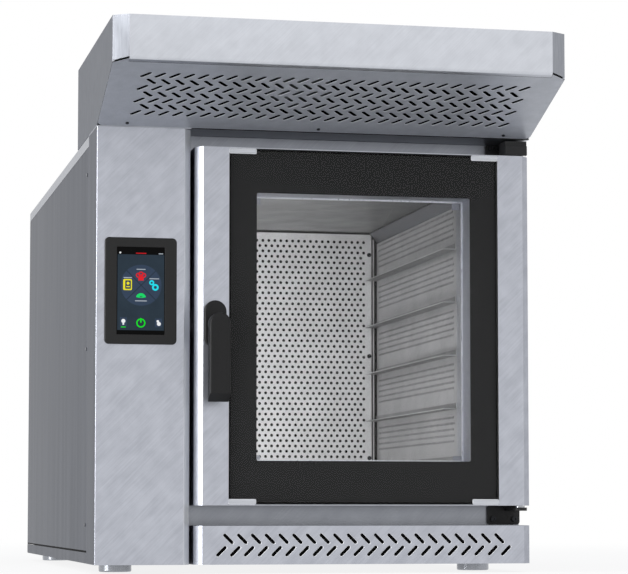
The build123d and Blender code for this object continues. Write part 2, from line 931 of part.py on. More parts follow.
def latch_keeper():
    """A bracket on the front frame whose pin stands just above the pawl."""
    x = pivot_x - pawl_length + keeper_pin / 2
    z = pivot_z + pawl_width / 2 + keeper_gap + keeper_pin / 2
    keeper = Pos(x, z) * RectangleRounded(keeper_width, keeper_height, keeper_corner)
    keeper = along_y(keeper, (frame_face - keeper_thickness, frame_face))
    return keeper + rod(keeper_pin, (pawl_y[0], frame_face), x, z)


# Panel below the door

def vent_panel():
    """The slotted lower panel, folded back to the front frame at both sides."""
    corners = [
        (door_left, frame_face),
        (door_left, front + door_chamfer),
        (door_left + door_chamfer, front),
        (right - door_chamfer, front),
        (right, front + door_chamfer),
        (right, frame_face),
    ]
    vent_top = base + vent_height
    panel = along_z(folded(corners, Side.LEFT), (base, vent_top))
    lip_x = (door_left + door_chamfer, right - door_chamfer)
    panel += block(lip_x, (front + sheet, front + fold), (vent_top - sheet, vent_top))
    for row in (0, 1):
        z = base + vent_row_height + row * vent_row_pitch
        cuts = slot_row(vent_slots - row, slot_angle - 2 * slot_angle * row)
        panel -= along_y(Pos(door_mid, z) * Sketch(cuts), (front, front + sheet))
    return panel


# Hood

def hood_plan(inset):
    half = width / 2 - inset
    y0, y1 = front - hood_overhang + inset, front + hood_back - inset
    points = [
        (-half, y1),
        (-half, y0 + hood_chamfer_depth),
        (-half + hood_chamfer_width, y0),
        (half - hood_chamfer_width, y0),
        (half, y0 + hood_chamfer_depth),
        (half, y1),
    ]
    return make_face(Polyline(*points, close=True))


slope_run = hood_overhang
slope_rise = hood_height - fascia_height
slope_length = math.hypot(slope_run, slope_rise)


slope = Plane((0, front, top), x_dir=(1, 0, 0), z_dir=(0, -slope_rise, -slope_run))


def slope_slab(thickness):
    """A layer over the hood's sloping underside, or the whole space below it."""
    plate = Pos(0, slope_length / 2) * Rectangle(width * 2, slope_length * 2)
    return extrude(slope * plate, amount=thickness)


hood_front = front - hood_overhang
hood_corner = right - hood_chamfer_width
hood_z = (top, top + hood_height)
lip_end = (
    hood_front + hood_lip * slope_run / slope_length,
    top + slope_rise - hood_lip * slope_rise / slope_length,
)


def hood_shell():
    """The folded hood. Its front turns under in a wide bend that ends in a lip."""
    form = along_z(hood_plan(0), hood_z) - slope_slab(hood_height) - slope_slab(-sheet)
    form -= along_z(hood_plan(sheet), (top, hood_z[1] - sheet))
    bend_top = top + slope_rise + 2 * hood_bend
    corner_x = (-hood_corner, hood_corner)
    form -= block(corner_x, (hood_front, hood_front + sheet), (top, bend_top))
    turned = [(hood_front, bend_top), (hood_front, top + slope_rise), lip_end]
    form += along_x(folded(turned, Side.LEFT, radius=hood_bend), corner_x)
    # Both bevelled corners end in a slit above the slotted plate.
    ends = block((left, right), (hood_front, hood_front + hood_chamfer_depth), hood_z)
    ends -= block(corner_x, (hood_front, front), hood_z)
    form -= slope_slab(-sheet - hood_slit) & ends
    return form - post(outlet_diameter + 2 * hole_play, hood_z, 0, outlet_y)


def hood_underside():
    """The slotted plate that carries the hood's sides and meets its lip in front."""
    rear_round = Pos(0, hood_front) * RectangleRounded(width, 2 * hood_overhang, hood_plate_corner)
    plate = slope_slab(-sheet) & along_z(hood_plan(0) & rear_round, hood_z)
    lip_x = (-hood_corner - seam, hood_corner + seam)
    plate -= block(lip_x, (hood_front, lip_end[0] + 2 * seam), hood_z)
    for row in range(hood_rows):
        odd = row % 2
        cuts = Sketch(slot_row(hood_slots - odd, slot_angle - 2 * slot_angle * odd))
        place = Pos(0, hood_row_margin + row * hood_row_pitch)
        plate -= extrude(slope * (place * cuts), amount=-sheet)
    return plate


def hood_screws():
    heads = []
    for x in (left + hood_screw_margin, 0, right - hood_screw_margin):
        head = Pos(x, hood_screw_setback) * Circle(hood_screw_diameter / 2)
        heads.append(extrude(slope * head, amount=screw_head))
    return heads


def hood_outlet():
    """The round duct collar on top, with a flange that rests on the hood."""
    hood_top = top + hood_height
    tube = post(outlet_diameter, (hood_top - outlet_drop, hood_top + outlet_rise), 0, outlet_y)
    tube += post(outlet_flange, (hood_top, hood_top + sheet), 0, outlet_y)
    bore = outlet_diameter - 2 * sheet
    return tube - post(bore, (top, hood_top + outlet_rise), 0, outlet_y)


ring_low = top + hood_height - outlet_drop
motor_top = ring_low + hood_motor_drop


def hood_fan_motor():
    """A small motor in the mouth of the collar, held by a ring with three arms."""
    spindle_hole = post(hood_spindle + 2 * pin_fit, (motor_top - hood_spindle_depth, motor_top), 0, 0)
    motor = post(hood_motor_diameter, (motor_top - hood_motor_length, motor_top), 0, 0)
    reach = outlet_diameter / 2 - sheet - hood_play
    half = hood_arm_width / 2
    arm = block((0, reach - hood_ring_width / 2), (-half, half), (ring_low, ring_low + hood_arm_width))
    for turn in range(hood_arms):
        motor += Rot(0, 0, turn * 360 / hood_arms + 90) * arm
    ring_z = (ring_low, ring_low + hood_ring_height)
    motor += post(2 * reach, ring_z, 0, 0) - post(2 * (reach - hood_ring_width), ring_z, 0, 0)
    return Pos(0, outlet_y, 0) * (motor - spindle_hole)


def hood_fan_rotor():
    """A hub with pitched blades on its own spindle, above the motor."""
    low = motor_top + seam
    hub = post(hood_fan_hub, (low, low + hood_fan_height), 0, 0)
    hub += post(hood_spindle, (motor_top - hood_spindle_depth + seam, low), 0, 0)
    length = (hood_fan_diameter - hood_fan_hub) / 2 + hub_overlap
    middle = (hood_fan_diameter - length) / 2
    blade = Rot(hood_blade_angle, 0, 0) * Box(length, hood_blade_thickness, hood_fan_height)
    blade = Pos(middle, 0, low + hood_fan_height / 2) * blade
    for turn in range(hood_fan_blades):
        hub += Rot(0, 0, turn * 360 / hood_fan_blades) * blade
    return Pos(0, outlet_y, 0) * hub


# Touch panel and electrical parts

bezel_x = left + bezel_inset + bezel_width / 2
bezel_z = base + bezel_rise + bezel_height / 2


def screen_bezel():
    frame = RectangleRounded(bezel_width, bezel_height, bezel_corner)
    frame = along_y(Pos(bezel_x, bezel_z) * frame, (front - bezel_thickness, front))
    frame = chamfer(frame.edges().group_by(Axis.Y)[0], bezel_bevel)
    window = Pos(bezel_x, bezel_z) * Rectangle(screen_width, screen_height)
    return frame - along_y(window, (front - bezel_thickness, front))


def touch_display():
    """The screen glass in the bezel, on the display module behind it."""
    glass_size = (screen_width - 2 * screen_play, screen_height - 2 * screen_play)
    module_size = (screen_width + 2 * display_rim, screen_height + 2 * display_rim)
    place = Pos(bezel_x, bezel_z)
    screen = along_y(place * Rectangle(*glass_size), (front - bezel_thickness + screen_recess, front))
    return screen + along_y(place * Rectangle(*module_size), (front, front + display_thickness))


def control_board():
    """A circuit board on four posts behind the display."""
    display_back = front + display_thickness
    face = (display_back + board_gap, display_back + board_gap + board_thickness)
    size = (bezel_width - fold, bezel_height)
    board = along_y(Pos(bezel_x, bezel_z) * Rectangle(*size), face)
    for x, z in chip_places:
        chip = Pos(bezel_x + x, bezel_z + z) * Rectangle(*chip_size)
        board += along_y(chip, (face[1], face[1] + chip_height))
    for x in (-1, 1):
        for z in (-1, 1):
            x_post = bezel_x + x * (screen_width / 2 - board_post)
            z_post = bezel_z + z * (screen_height / 2 - board_post)
            board += rod(board_post, (display_back, face[0]), x_post, z_post)
    return board


plate_face = column_right - plate_inset
plate_y = (front + plate_setback, front + plate_setback + plate_length)
plate_z = (base + sheet, base + sheet + plate_height)
mounting_face = plate_face - sheet


def component_plate():
    corners = [(plate_face - plate_foot, plate_z[0]), (plate_face, plate_z[0]), (plate_face, plate_z[1])]
    return along_y(folded(corners, Side.LEFT), plate_y)


def contactors():
    depth_x, length_y, tall = contactor_size
    cap_x, cap_y, cap_z = contactor_cap
    low = plate_z[0] + contactor_rise
    blocks = []
    for step in range(contactor_count):
        y = plate_y[0] + contactor_pitch * (step + 1) + length_y / 2
        x = mounting_face - depth_x / 2
        body = Pos(x, y, low + tall / 2) * Box(depth_x, length_y, tall)
        cap = Pos(x, y, low + tall + cap_z / 2) * Box(cap_x, cap_y, cap_z)
        blocks.append(body + cap)
    return blocks


def power_board():
    length, tall = power_board_size
    y = (plate_y[0] + power_board_start, plate_y[0] + power_board_start + length)
    z = (plate_z[0] + power_board_rise, plate_z[0] + power_board_rise + tall)
    face = mounting_face - board_gap - board_thickness
    board = block((face, face + board_thickness), y, z)
    leg = board_post / 2
    for y_leg in (y[0] + board_post, y[1] - board_post):
        for z_leg in (z[0] + board_post, z[1] - board_post):
            limits = (face + board_thickness, mounting_face)
            board += block(limits, (y_leg - leg, y_leg + leg), (z_leg - leg, z_leg + leg))
    deep, long, high = relay_size
    for step in range(relay_count):
        y_relay = (y[0] + y[1] - relay_pitch * (relay_count - 1) - long) / 2 + step * relay_pitch
        board += block((face - deep, face), (y_relay, y_relay + long), (z[0] + high, z[0] + 2 * high))
    return board


def terminal_block():
    deep, length, tall = terminal_size
    y = (plate_y[1] - terminal_end - length, plate_y[1] - terminal_end)
    z = (plate_z[0] + terminal_rise, plate_z[0] + terminal_rise + tall)
    strip = block((mounting_face - deep, mounting_face), y, z)
    half = terminal_slot / 2
    for y_slot in spread(y[0] + terminal_slot, y[1] - terminal_slot, terminal_ways):
        cut_x = (mounting_face - deep, mounting_face - terminal_back)
        strip -= block(cut_x, (y_slot - half, y_slot + half), (z[1] - terminal_slot_depth, z[1]))
    return strip


gland_x = left + gland_inset
inlet_x = right - inlet_inset
service_z = base + service_rise


def cable_gland():
    """A screwed cable entry: hexagon and clamping nut outside, lock nut inside."""
    hexagon = RegularPolygon(gland_diameter / 2, 6)
    y = (back - gland_depth, back + gland_reach)
    body = along_y(hexagon, (back, back + gland_hex_height))
    body += rod(gland_nut, (back, y[1]), 0, 0)
    body += rod(gland_neck, (y[0], back), 0, 0)
    body += along_y(hexagon, (back - gland_hex_height, back - sheet))
    return Pos(gland_x, 0, service_z) * (body - rod(gland_bore, y, 0, 0))


def water_valve():
    """The water inlet: a threaded spigot outside and the valve body inside."""
    neck_back = back - valve_neck_depth
    body = rod(inlet_diameter, (back, back + inlet_reach), 0, 0)
    body += rod(inlet_neck, (back - sheet, back), 0, 0)
    body += rod(inlet_body, (neck_back, back - sheet), 0, 0)
    half = valve_width / 2
    body += block((-half, half), (back - valve_depth, neck_back), (-half, valve_height))
    body -= rod(inlet_bore, (neck_back, back + inlet_reach), 0, 0)
    return Pos(inlet_x, 0, service_z) * body


parts["feet"] = feet()
parts["base_pan"] = base_pan()
parts["control_column"] = control_column()
parts["left_side_cover"] = side_cover(left, cover_start)
parts["right_side_cover"] = side_cover(right, skirt_start)
parts["side_cover_screws"] = side_screws()
parts["top_cover"] = top_cover()
parts["rear_panel"] = rear_panel()
parts["front_frame"] = front_frame()
parts["chamber"] = chamber()
parts["chamber_insulation"] = chamber_insulation()
parts["chamber_cradle"] = chamber_cradle()
parts["right_duct_panel"] = right_duct()
parts["left_duct_panel"] = mirrored(right_duct())
parts["right_runners"] = right_runners()
parts["left_runners"] = [mirrored(rail) for rail in right_runners()]
parts["rear_baffle"] = rear_baffle()
parts["baffle_screws"] = baffle_screws()
parts["lamp_holder"] = lamp_holder()
parts["lamp_glass"] = lamp_glass()
parts["steam_pipe"] = steam_pipe()
parts["fan_impeller"] = fan_impeller()
parts["fan_shaft"] = fan_shaft()
parts["ring_heater"] = ring_heater()
parts["motor_plate"] = motor_plate()
parts["fan_motor"] = fan_motor()
parts["door_shell"] = door_shell()
parts["door_inner_panel"] = door_inner_panel()
parts["door_outer_glass"] = door_outer_glass()
parts["door_inner_glass"] = door_inner_glass()
parts["glass_clips"] = glass_clips()
parts["inner_glass_holders"] = inner_glass_holders()
parts["door_gasket"] = door_gasket()
parts["lower_hinge_bracket"] = hinge_bracket(lower_arm_z, lower_plate_z)
parts["upper_hinge_bracket"] = hinge_bracket(upper_arm_z, upper_plate_z)
parts["hinge_pins"] = hinge_pins()
parts["hinge_screws"] = hinge_screws()
parts["upper_hinge_cap"] = upper_hinge_cap()
parts["hinge_bushings"] = hinge_bushings()
parts["handle_base"] = handle_base()
parts["door_lever"] = door_lever()
parts["handle_spindle"] = handle_spindle()
parts["latch_pawl"] = latch_pawl()
parts["latch_keeper"] = latch_keeper()
parts["vent_panel"] = vent_panel()
parts["hood_shell"] = hood_shell()
parts["hood_underside"] = hood_underside()
parts["hood_screws"] = hood_screws()
parts["hood_outlet"] = hood_outlet()
parts["hood_fan_motor"] = hood_fan_motor()
parts["hood_fan_rotor"] = hood_fan_rotor()
parts["screen_bezel"] = screen_bezel()
parts["touch_display"] = touch_display()
parts["control_board"] = control_board()
parts["component_plate"] = component_plate()
parts["contactors"] = contactors()
parts["power_board"] = power_board()
parts["terminal_block"] = terminal_block()
parts["cable_gland"] = cable_gland()
parts["water_valve"] = water_valve()

os.makedirs("parts", exist_ok=True)
for name, shape in parts.items():
    solids = shape if isinstance(shape, list) else [shape]
    pieces = [solid for item in solids for solid in item.solids()]
    export_step(Compound(children=pieces), f"parts/{name}.step")
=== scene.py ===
import json
import math

import bmesh
import bpy
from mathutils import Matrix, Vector


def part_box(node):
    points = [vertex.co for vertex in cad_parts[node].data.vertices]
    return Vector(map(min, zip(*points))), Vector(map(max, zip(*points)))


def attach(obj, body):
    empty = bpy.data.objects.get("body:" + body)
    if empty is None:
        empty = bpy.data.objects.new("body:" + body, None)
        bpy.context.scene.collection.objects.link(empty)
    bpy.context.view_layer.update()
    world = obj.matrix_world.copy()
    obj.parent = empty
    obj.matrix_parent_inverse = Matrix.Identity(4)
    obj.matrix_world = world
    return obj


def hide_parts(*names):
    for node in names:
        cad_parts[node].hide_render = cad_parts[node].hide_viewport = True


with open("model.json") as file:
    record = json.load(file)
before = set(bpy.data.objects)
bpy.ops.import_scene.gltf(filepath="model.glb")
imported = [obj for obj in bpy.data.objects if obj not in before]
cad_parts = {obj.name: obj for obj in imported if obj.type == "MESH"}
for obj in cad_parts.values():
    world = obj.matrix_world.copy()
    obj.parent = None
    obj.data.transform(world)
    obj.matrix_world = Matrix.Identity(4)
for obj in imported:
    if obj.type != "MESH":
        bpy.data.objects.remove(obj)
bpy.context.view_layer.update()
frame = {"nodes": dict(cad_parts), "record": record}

# Camera: a long lens, low in front of the oven and to its left, tipped up a little so that
# the slotted underside of the hood shows.
camera = bpy.data.objects.new("camera", bpy.data.cameras.new("camera"))
camera_pitch = 4.138
camera_yaw = 11.917
camera.location = (-0.89707, -4.76937, 0.11093)
camera.rotation_euler = (math.radians(90 + camera_pitch), 0, math.radians(-camera_yaw))
camera.data.sensor_width = 36
camera.data.lens = 137.767
camera.data.shift_y = 0.08
bpy.context.scene.collection.objects.link(camera)
bpy.context.scene.camera = camera
bpy.context.scene.view_settings.view_transform = "Standard"


# Studio: a pale floor that runs out into a white surround, with soft lamps. The tall lamp on
# the left gives the bevels and rounded edges that face it their bright line.
def linear(code):
    """The linear colour of an sRGB hex code."""
    channels = [int(code[i:i + 2], 16) / 255 for i in (0, 2, 4)]
    return [c / 12.92 if c <= 0.04045 else ((c + 0.055) / 1.055) ** 2.4 for c in channels] + [1]


def connect(tree, node, inputs):
    """Sets or links the inputs of a node, by name or by number."""
    for name, value in inputs.items():
        if isinstance(value, bpy.types.NodeSocket):
            tree.links.new(value, node.inputs[name])
        else:
            node.inputs[name].default_value = value


def add(tree, kind, inputs=None, **settings):
    """Adds a shader node with its settings, and sets or links its inputs."""
    made = tree.nodes.new("ShaderNode" + kind)
    for name, value in settings.items():
        setattr(made, name, value)
    connect(tree, made, inputs or {})
    return made


def bare_tree(owner):
    """The node tree of a world or a material, without its first nodes."""
    owner.use_nodes = True
    owner.node_tree.nodes.clear()
    return owner.node_tree


def background_seen(tree):
    """1 for the camera's rays, for mirror rays and for rays through glass."""
    path = add(tree, "LightPath").outputs
    sight = add(tree, "Math", {0: path["Is Camera Ray"], 1: path["Is Glossy Ray"]}, operation="ADD")
    through = {0: sight.outputs[0], 1: path["Is Transmission Ray"]}
    return add(tree, "Math", through, operation="ADD", use_clamp=True).outputs[0]


world = bpy.data.worlds.new("studio")
bpy.context.scene.world = world
surround = bare_tree(world)
around = add(surround, "Background", {"Color": linear("F4F6FA"), "Strength": 0.72})
white = add(surround, "Background", {"Color": linear("FFFFFF"), "Strength": 1.0})
sides = {0: background_seen(surround), 1: around.outputs[0], 2: white.outputs[0]}
add(surround, "OutputWorld", {"Surface": add(surround, "MixShader", sides).outputs[0]})

floor_reach = 14
corner_signs = ((-1, -1), (1, -1), (1, 1), (-1, 1))
floor_corners = [(x * floor_reach, y * floor_reach, 0) for x, y in corner_signs]
floor_mesh = bpy.data.meshes.new("floor")
floor_mesh.from_pydata(floor_corners, [], [(0, 1, 2, 3)])
floor = bpy.data.objects.new("floor", floor_mesh)
bpy.context.scene.collection.objects.link(floor)

# The floor's paint takes some shade near the oven, and turns into the white surround between
# one and four metres away.
shade_reach = (1.0, 4.0)
white_near = 0.85
floor_paint = bpy.data.materials.new("matt_white_floor")
tree = bare_tree(floor_paint)
spot = add(tree, "TexCoord").outputs["Object"]
away = add(tree, "VectorMath", {0: spot}, operation="LENGTH").outputs["Value"]
limits = {
    "Value": away, "From Min": shade_reach[0], "From Max": shade_reach[1], "To Min": white_near,
}
faded = add(tree, "MapRange", limits, interpolation_type="SMOOTHSTEP").outputs[0]
share = add(tree, "Math", {0: background_seen(tree), 1: faded}, operation="MULTIPLY")
matt = add(tree, "BsdfDiffuse", {"Color": linear("F1F2F4")})
glow = add(tree, "Emission", {"Color": linear("FFFFFF"), "Strength": 1.0})
mixed = add(tree, "MixShader", {0: share.outputs[0], 1: matt.outputs[0], 2: glow.outputs[0]})
add(tree, "OutputMaterial", {"Surface": mixed.outputs[0]})
floor_mesh.materials.append(floor_paint)


def softbox(name, place, target, size, power):
    """A rectangular lamp that faces a target. Sizes are in metres and power in watts."""
    lamp = bpy.data.objects.new(name, bpy.data.lights.new(name, "AREA"))
    lamp.data.shape = "RECTANGLE"
    lamp.data.size, lamp.data.size_y = size
    lamp.data.energy = power
    lamp.location = place
    lamp.rotation_euler = (Vector(target) - Vector(place)).to_track_quat("-Z", "Y").to_euler()
    bpy.context.scene.collection.objects.link(lamp)
    lamp.visible_camera = False


softbox("lamp_left", (-3.8, -1.62, 1.0), target=(-0.2, -0.5, 0.5), size=(1.44, 3.0), power=115)
softbox("lamp_top", (0.2, -1.6, 3.8), target=(0, 0.1, 0.5), size=(2.6, 2.6), power=40)


# Feet: turned stainless steel discs on threaded studs. Turning leaves fine rings, which show
# as a slight sparkle in a bright, clean grey. The real rings are about 0.15 mm apart. They are
# drawn 0.6 mm apart, so that they show.
def principled(name):
    """A new material with its tree and its main shader."""
    material = bpy.data.materials.new(name)
    material.use_nodes = True
    return material, material.node_tree, material.node_tree.nodes["Principled BSDF"]


def streaks(tree, length, width, turn=(0, 0, 0), detail=2.0, shift=0.0):
    """Noise stretched to a real length and width in metres, along X before it is turned."""
    shape = {
        "Vector": add(tree, "TexCoord").outputs["Object"],
        "Location": (shift,) * 3, "Rotation": turn, "Scale": (length, width, width),
    }
    stretched = add(tree, "Mapping", shape, vector_type="TEXTURE").outputs[0]
    noise = {"Vector": stretched, "Scale": 1.0, "Detail": detail}
    return add(tree, "TexNoise", noise).outputs["Fac"]


def finish(name, dark, light, grain, roughness, metallic=0.0, relief=0.0002, strength=0.15,
           wide=None, specular=0.5, reflection_shade=1.0):
    """A material whose tone, gloss and relief all follow one grain.

    grain and wide are (length, width, turn) in metres and radians. The wide one only adds tone.
    The edge tint is a painted shade: it darkens what a metal mirrors at a flat angle, in place of
    darker surroundings."""
    material, tree, shader = principled(name)
    fine = streaks(tree, *grain, detail=3.0)
    tone = fine
    if wide:
        soft = streaks(tree, *wide, shift=0.37)
        both = add(tree, "Math", {0: fine, 1: soft}, operation="ADD").outputs[0]
        tone = add(tree, "Math", {0: both, 1: 0.5}, operation="MULTIPLY").outputs[0]
    # The noise keeps near its middle, 0.5, so that these limits bring out its whole contrast.
    share = add(tree, "MapRange", {"Value": tone, "From Min": 0.36, "From Max": 0.64}).outputs[0]
    mix = add(tree, "Mix", {0: share, 6: linear(dark), 7: linear(light)}, data_type="RGBA")
    gloss = add(tree, "MapRange", {
        "Value": fine, "From Min": 0.3, "From Max": 0.7,
        "To Min": roughness - 0.04, "To Max": roughness + 0.06,
    })
    bump = add(tree, "Bump", {"Height": fine, "Strength": strength, "Distance": relief})
    connect(tree, shader, {
        "Base Color": mix.outputs[2], "Roughness": gloss.outputs[0], "Normal": bump.outputs[0],
        "Metallic": metallic, "Specular IOR Level": specular,
        "Specular Tint": (reflection_shade, reflection_shade, reflection_shade, 1),
    })
    return material


def dress(material, *names):
    """Gives CAD nodes their finish."""
    for name in names:
        for held in frame["nodes"][name].material_slots:
            held.material = material


record = frame["record"]
node_body = {
    node: body for body, nodes in record["behaviour"]["bodies"].items() for node in nodes
}


def stand_in(name, mesh, material, node, replace=True):
    """Links a piece that rides with a CAD node, takes its slot, and is shown instead of it."""
    piece = bpy.data.objects.new(name, mesh)
    bpy.context.scene.collection.objects.link(piece)
    mesh.materials.append(material)
    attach(piece, node_body[node])
    if replace:
        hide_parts(node)
    return piece


def softened(node, material, radius, segments=2, edge=None):
    """The node's form with its folded or moulded edges rounded, as real edges are.

    The edges can have a finish of their own."""
    same_point = 2e-5
    flat = math.radians(0.5)
    crease = math.radians(28)
    bm = bmesh.new()
    bm.from_mesh(frame["nodes"][node].data)
    bmesh.ops.remove_doubles(bm, verts=bm.verts, dist=same_point)
    bmesh.ops.dissolve_limit(bm, angle_limit=flat, verts=bm.verts, edges=bm.edges)
    mesh = bpy.data.meshes.new(node + "_finished")
    bm.to_mesh(mesh)
    bm.free()
    piece = stand_in(node + "_finished", mesh, material, node)
    mesh.shade_smooth()
    mesh.set_sharp_from_angle(angle=crease)
    rounding = piece.modifiers.new("rounded_edges", "BEVEL")
    rounding.width = radius
    rounding.segments = segments
    rounding.limit_method = "ANGLE"
    rounding.angle_limit = crease
    rounding.harden_normals = True
    if edge:
        mesh.materials.append(edge)
        rounding.material = 1
    return piece


# Turns that carry a grain from X to the way it runs.
level = (0, 0, 0)
upright = (0, math.radians(-90), 0)
slanted = (0, math.radians(-45), 0)
lengthwise = (0, 0, math.radians(90))
turned = finish(
    "stainless_steel_turned", "8A8D93", "A8ABB1", (0.002, 0.0006, level),
    roughness=0.22, metallic=1.0,
)
softened("feet", turned, 0.0008)

# Cradle, plates inside and outlet collar: zinc-coated sheet steel, cut and folded to shape.
# The zinc freezes in flat crystals, about 12 mm across, each with a grey and a gloss of its
# own.
zinc_coated, tree, shader = principled("steel_hot_dip_galvanised")
crystal = 0.012
spot = add(tree, "TexCoord").outputs["Object"]
cells = add(tree, "TexVoronoi", {"Vector": spot, "Scale": 1 / crystal}).outputs["Color"]
grey = add(tree, "SeparateColor", {"Color": cells}).outputs[0]
mix = add(tree, "Mix", {0: grey, 6: linear("8F9496"), 7: linear("B0B5B7")}, data_type="RGBA")
gloss = add(tree, "MapRange", {"Value": grey, "To Min": 0.34, "To Max": 0.5}).outputs[0]
connect(tree, shader, {"Base Color": mix.outputs[2], "Roughness": gloss, "Metallic": 1.0})
dress(zinc_coated, "chamber_cradle", "component_plate", "motor_plate", "hood_outlet")

# Base pan, rear panel and side covers: folded stainless sheet, ground with a belt from top to
# bottom, which gives upright streaks. Their grey is painted darker than the front's, as painted
# shade on the sides and back, and what they mirror at a flat angle is darkened, as painted shade.
# The real scratches are 0.05 mm apart.
# They are drawn 2 mm apart here and on all the ground sheet below, so that they show.
ground_upright_painted_shade = finish(
    "stainless_steel_ground_upright_painted_shade", "7E8189", "8D9098", (0.16, 0.002, upright),
    roughness=0.38, metallic=1.0, wide=(0.6, 0.035, upright), reflection_shade=0.45,
)
dress(ground_upright_painted_shade, "base_pan")
softened("rear_panel", ground_upright_painted_shade, 0.0005)

# A matt black is painted, as shade, on what only gaps and slots show, such as the foot of each side
# cover, at the gap above the skirt of the base pan. It is an even black with next to no gloss.
painted_shade_black = finish(
    "steel_matt_painted_shade_black", "050505", "0C0C0C", (0.002, 0.002, level),
    roughness=0.8, specular=0.1,
)
skirt_gap = 0.003

# How much of a face's normal points a way, where its finish depends on that.
slightly, mostly, squarely = 0.3, 0.5, 0.9


def cut(mesh, spot, way, trim=False):
    """Cuts faces along a plane, so that a finish can end there, or trims the mesh there."""
    bm = bmesh.new()
    bm.from_mesh(mesh)
    whole = bm.verts[:] + bm.edges[:] + bm.faces[:]
    bmesh.ops.bisect_plane(bm, geom=whole, plane_co=spot, plane_no=way, clear_outer=trim)
    bm.to_mesh(mesh)
    bm.free()


def refinish(piece, material, chosen):
    """Gives the chosen faces of a piece another finish."""
    piece.data.materials.append(material)
    for face in piece.data.polygons:
        if chosen(face):
            face.material_index = len(piece.data.materials) - 1


# The foot of each side cover, at the gap above the skirt, is painted black, as painted shade.
for node in ("left_side_cover", "right_side_cover"):
    cover = softened(node, ground_upright_painted_shade, 0.0005)
    gap_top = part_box(node)[0].z + skirt_gap
    cut(cover.data, (0, 0, gap_top), (0, 0, 1))
    refinish(cover, painted_shade_black, lambda face: face.center.z < gap_top)

# Cover screws: pan heads of zinc-plated steel, which hold the side covers to the frame. The
# plating has clouds about 1 mm across, and is a little duller than the sheet round it.
plated = finish(
    "steel_zinc_plated", "5E6065", "7A7C81", (0.001, 0.001, level), roughness=0.34, metallic=1.0
)
dress(plated, "side_cover_screws")

# Top cover: the same ground sheet, with its grain from front to back. It faces up, and is painted
# lighter than the sides, as painted light. Over the door its front edge lies in the gap behind the
# hood's plate, and is painted black there, as painted shade.
ground_lengthwise_painted_light = finish(
    "stainless_steel_ground_lengthwise_painted_light", "9EA1A8", "ABAEB5", (0.16, 0.002, lengthwise),
    roughness=0.38, metallic=1.0, wide=(0.6, 0.035, lengthwise),
)
top_piece = softened("top_cover", ground_lengthwise_painted_light, 0.0005)
column_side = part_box("control_column")[1].x
cut(top_piece.data, (column_side, 0, 0), (1, 0, 0))
refinish(top_piece, painted_shade_black, lambda face: (
    face.normal.y < -mostly and face.center.x > column_side
))

# Front frame: stainless sheet behind the door, ground in the same slanted direction, and painted a
# calm, darker grey, as painted shade from the door; what it mirrors at a flat angle is darkened
# too. A collar, folded into the chamber mouth, is painted brighter, as painted light from the
# chamber.
ground_frame_painted_shade = finish(
    "stainless_steel_ground_frame_painted_shade", "95989F", "A1A4AB", (0.12, 0.002, slanted),
    roughness=0.36, metallic=1.0, wide=(0.05, 0.03, slanted), reflection_shade=0.4,
)
frame_piece = softened("front_frame", ground_frame_painted_shade, 0.0006)
collar_painted_light = finish(
    "stainless_steel_ground_collar_painted_light", "BFC2C9", "CDD0D6", (0.09, 0.002, slanted),
    roughness=0.4, metallic=1.0,
)
mouth_low, mouth_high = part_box("rear_baffle")
mouth_margin = 0.04
refinish(frame_piece, collar_painted_light, lambda face: (
    abs(face.normal.y) < slightly
    and mouth_low.x - mouth_margin < face.center.x < mouth_high.x + mouth_margin
))

# Behind the slotted panel and beside the door, only gaps and slots show the frame, and it is
# painted black there, as painted shade.
vent_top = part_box("vent_panel")[1].z
door_low, door_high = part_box("door_shell")
gap_reach = 0.02
gap_edge = door_low.x + gap_reach
for height in (vent_top, door_low.z, door_high.z):
    cut(frame_piece.data, (0, 0, height), (0, 0, 1))
cut(frame_piece.data, (gap_edge, 0, 0), (1, 0, 0))
refinish(frame_piece, painted_shade_black, lambda face: (
    face.center.z < vent_top
    or (door_low.z < face.center.z < door_high.z and face.center.x < gap_edge)
))

# Baking chamber: thin stainless sheet, left with the matt surface of the rolling mill and welded at
# its corners. That surface is a soft grey with clouds about 6 mm across. Behind the panels and the
# baffle it is painted near black, as painted shade.
mill_clouds = (0.006, 0.006, level)
mill_shades = (0.05, 0.05, level)
mill_matt = finish(
    "stainless_steel_mill_finish", "969797", "B4B5B5", mill_clouds,
    roughness=0.45, metallic=1.0, wide=mill_shades,
)
painted_shade_dark = finish(
    "stainless_steel_painted_shade_darkened", "0B0A0A", "151413", (0.01, 0.01, level),
    roughness=0.6, metallic=0.5,
)
chamber_low, chamber_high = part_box("chamber")
chamber_mid = (chamber_low.x + chamber_high.x) / 2
duct_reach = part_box("right_duct_panel")[0].x - chamber_mid
baffle_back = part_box("rear_baffle")[1].y
wall_share = 0.95
chamber_piece = softened("chamber", mill_matt, 0.0004)
refinish(chamber_piece, painted_shade_dark, lambda face: (
    face.center.y > baffle_back
    or (abs(face.center.x - chamber_mid) > duct_reach and abs(face.normal.x) > wall_share)
))

# Two sloping strips join the walls and the ceiling. The heat has tinted them blue. Their weld
# seams, 4 mm wide, are painted near black, as painted shade at the joints.
heat_blue = finish(
    "stainless_steel_heat_tinted", "55575E", "66686F", (0.05, 0.01, lengthwise),
    roughness=0.4, metallic=1.0,
)
slope_share = 0.2
seam_shade = 0.004
chamber_piece.data.materials.append(heat_blue)
bm = bmesh.new()
bm.from_mesh(chamber_piece.data)
strips = [face for face in bm.faces if slope_share < abs(face.normal.z) < wall_share]
for face in strips:
    face.material_index = chamber_piece.data.materials.find(painted_shade_dark.name)
bmesh.ops.inset_individual(bm, faces=strips, thickness=seam_shade)
for face in strips:
    face.material_index = chamber_piece.data.materials.find(heat_blue.name)
bm.to_mesh(chamber_piece.data)
bm.free()

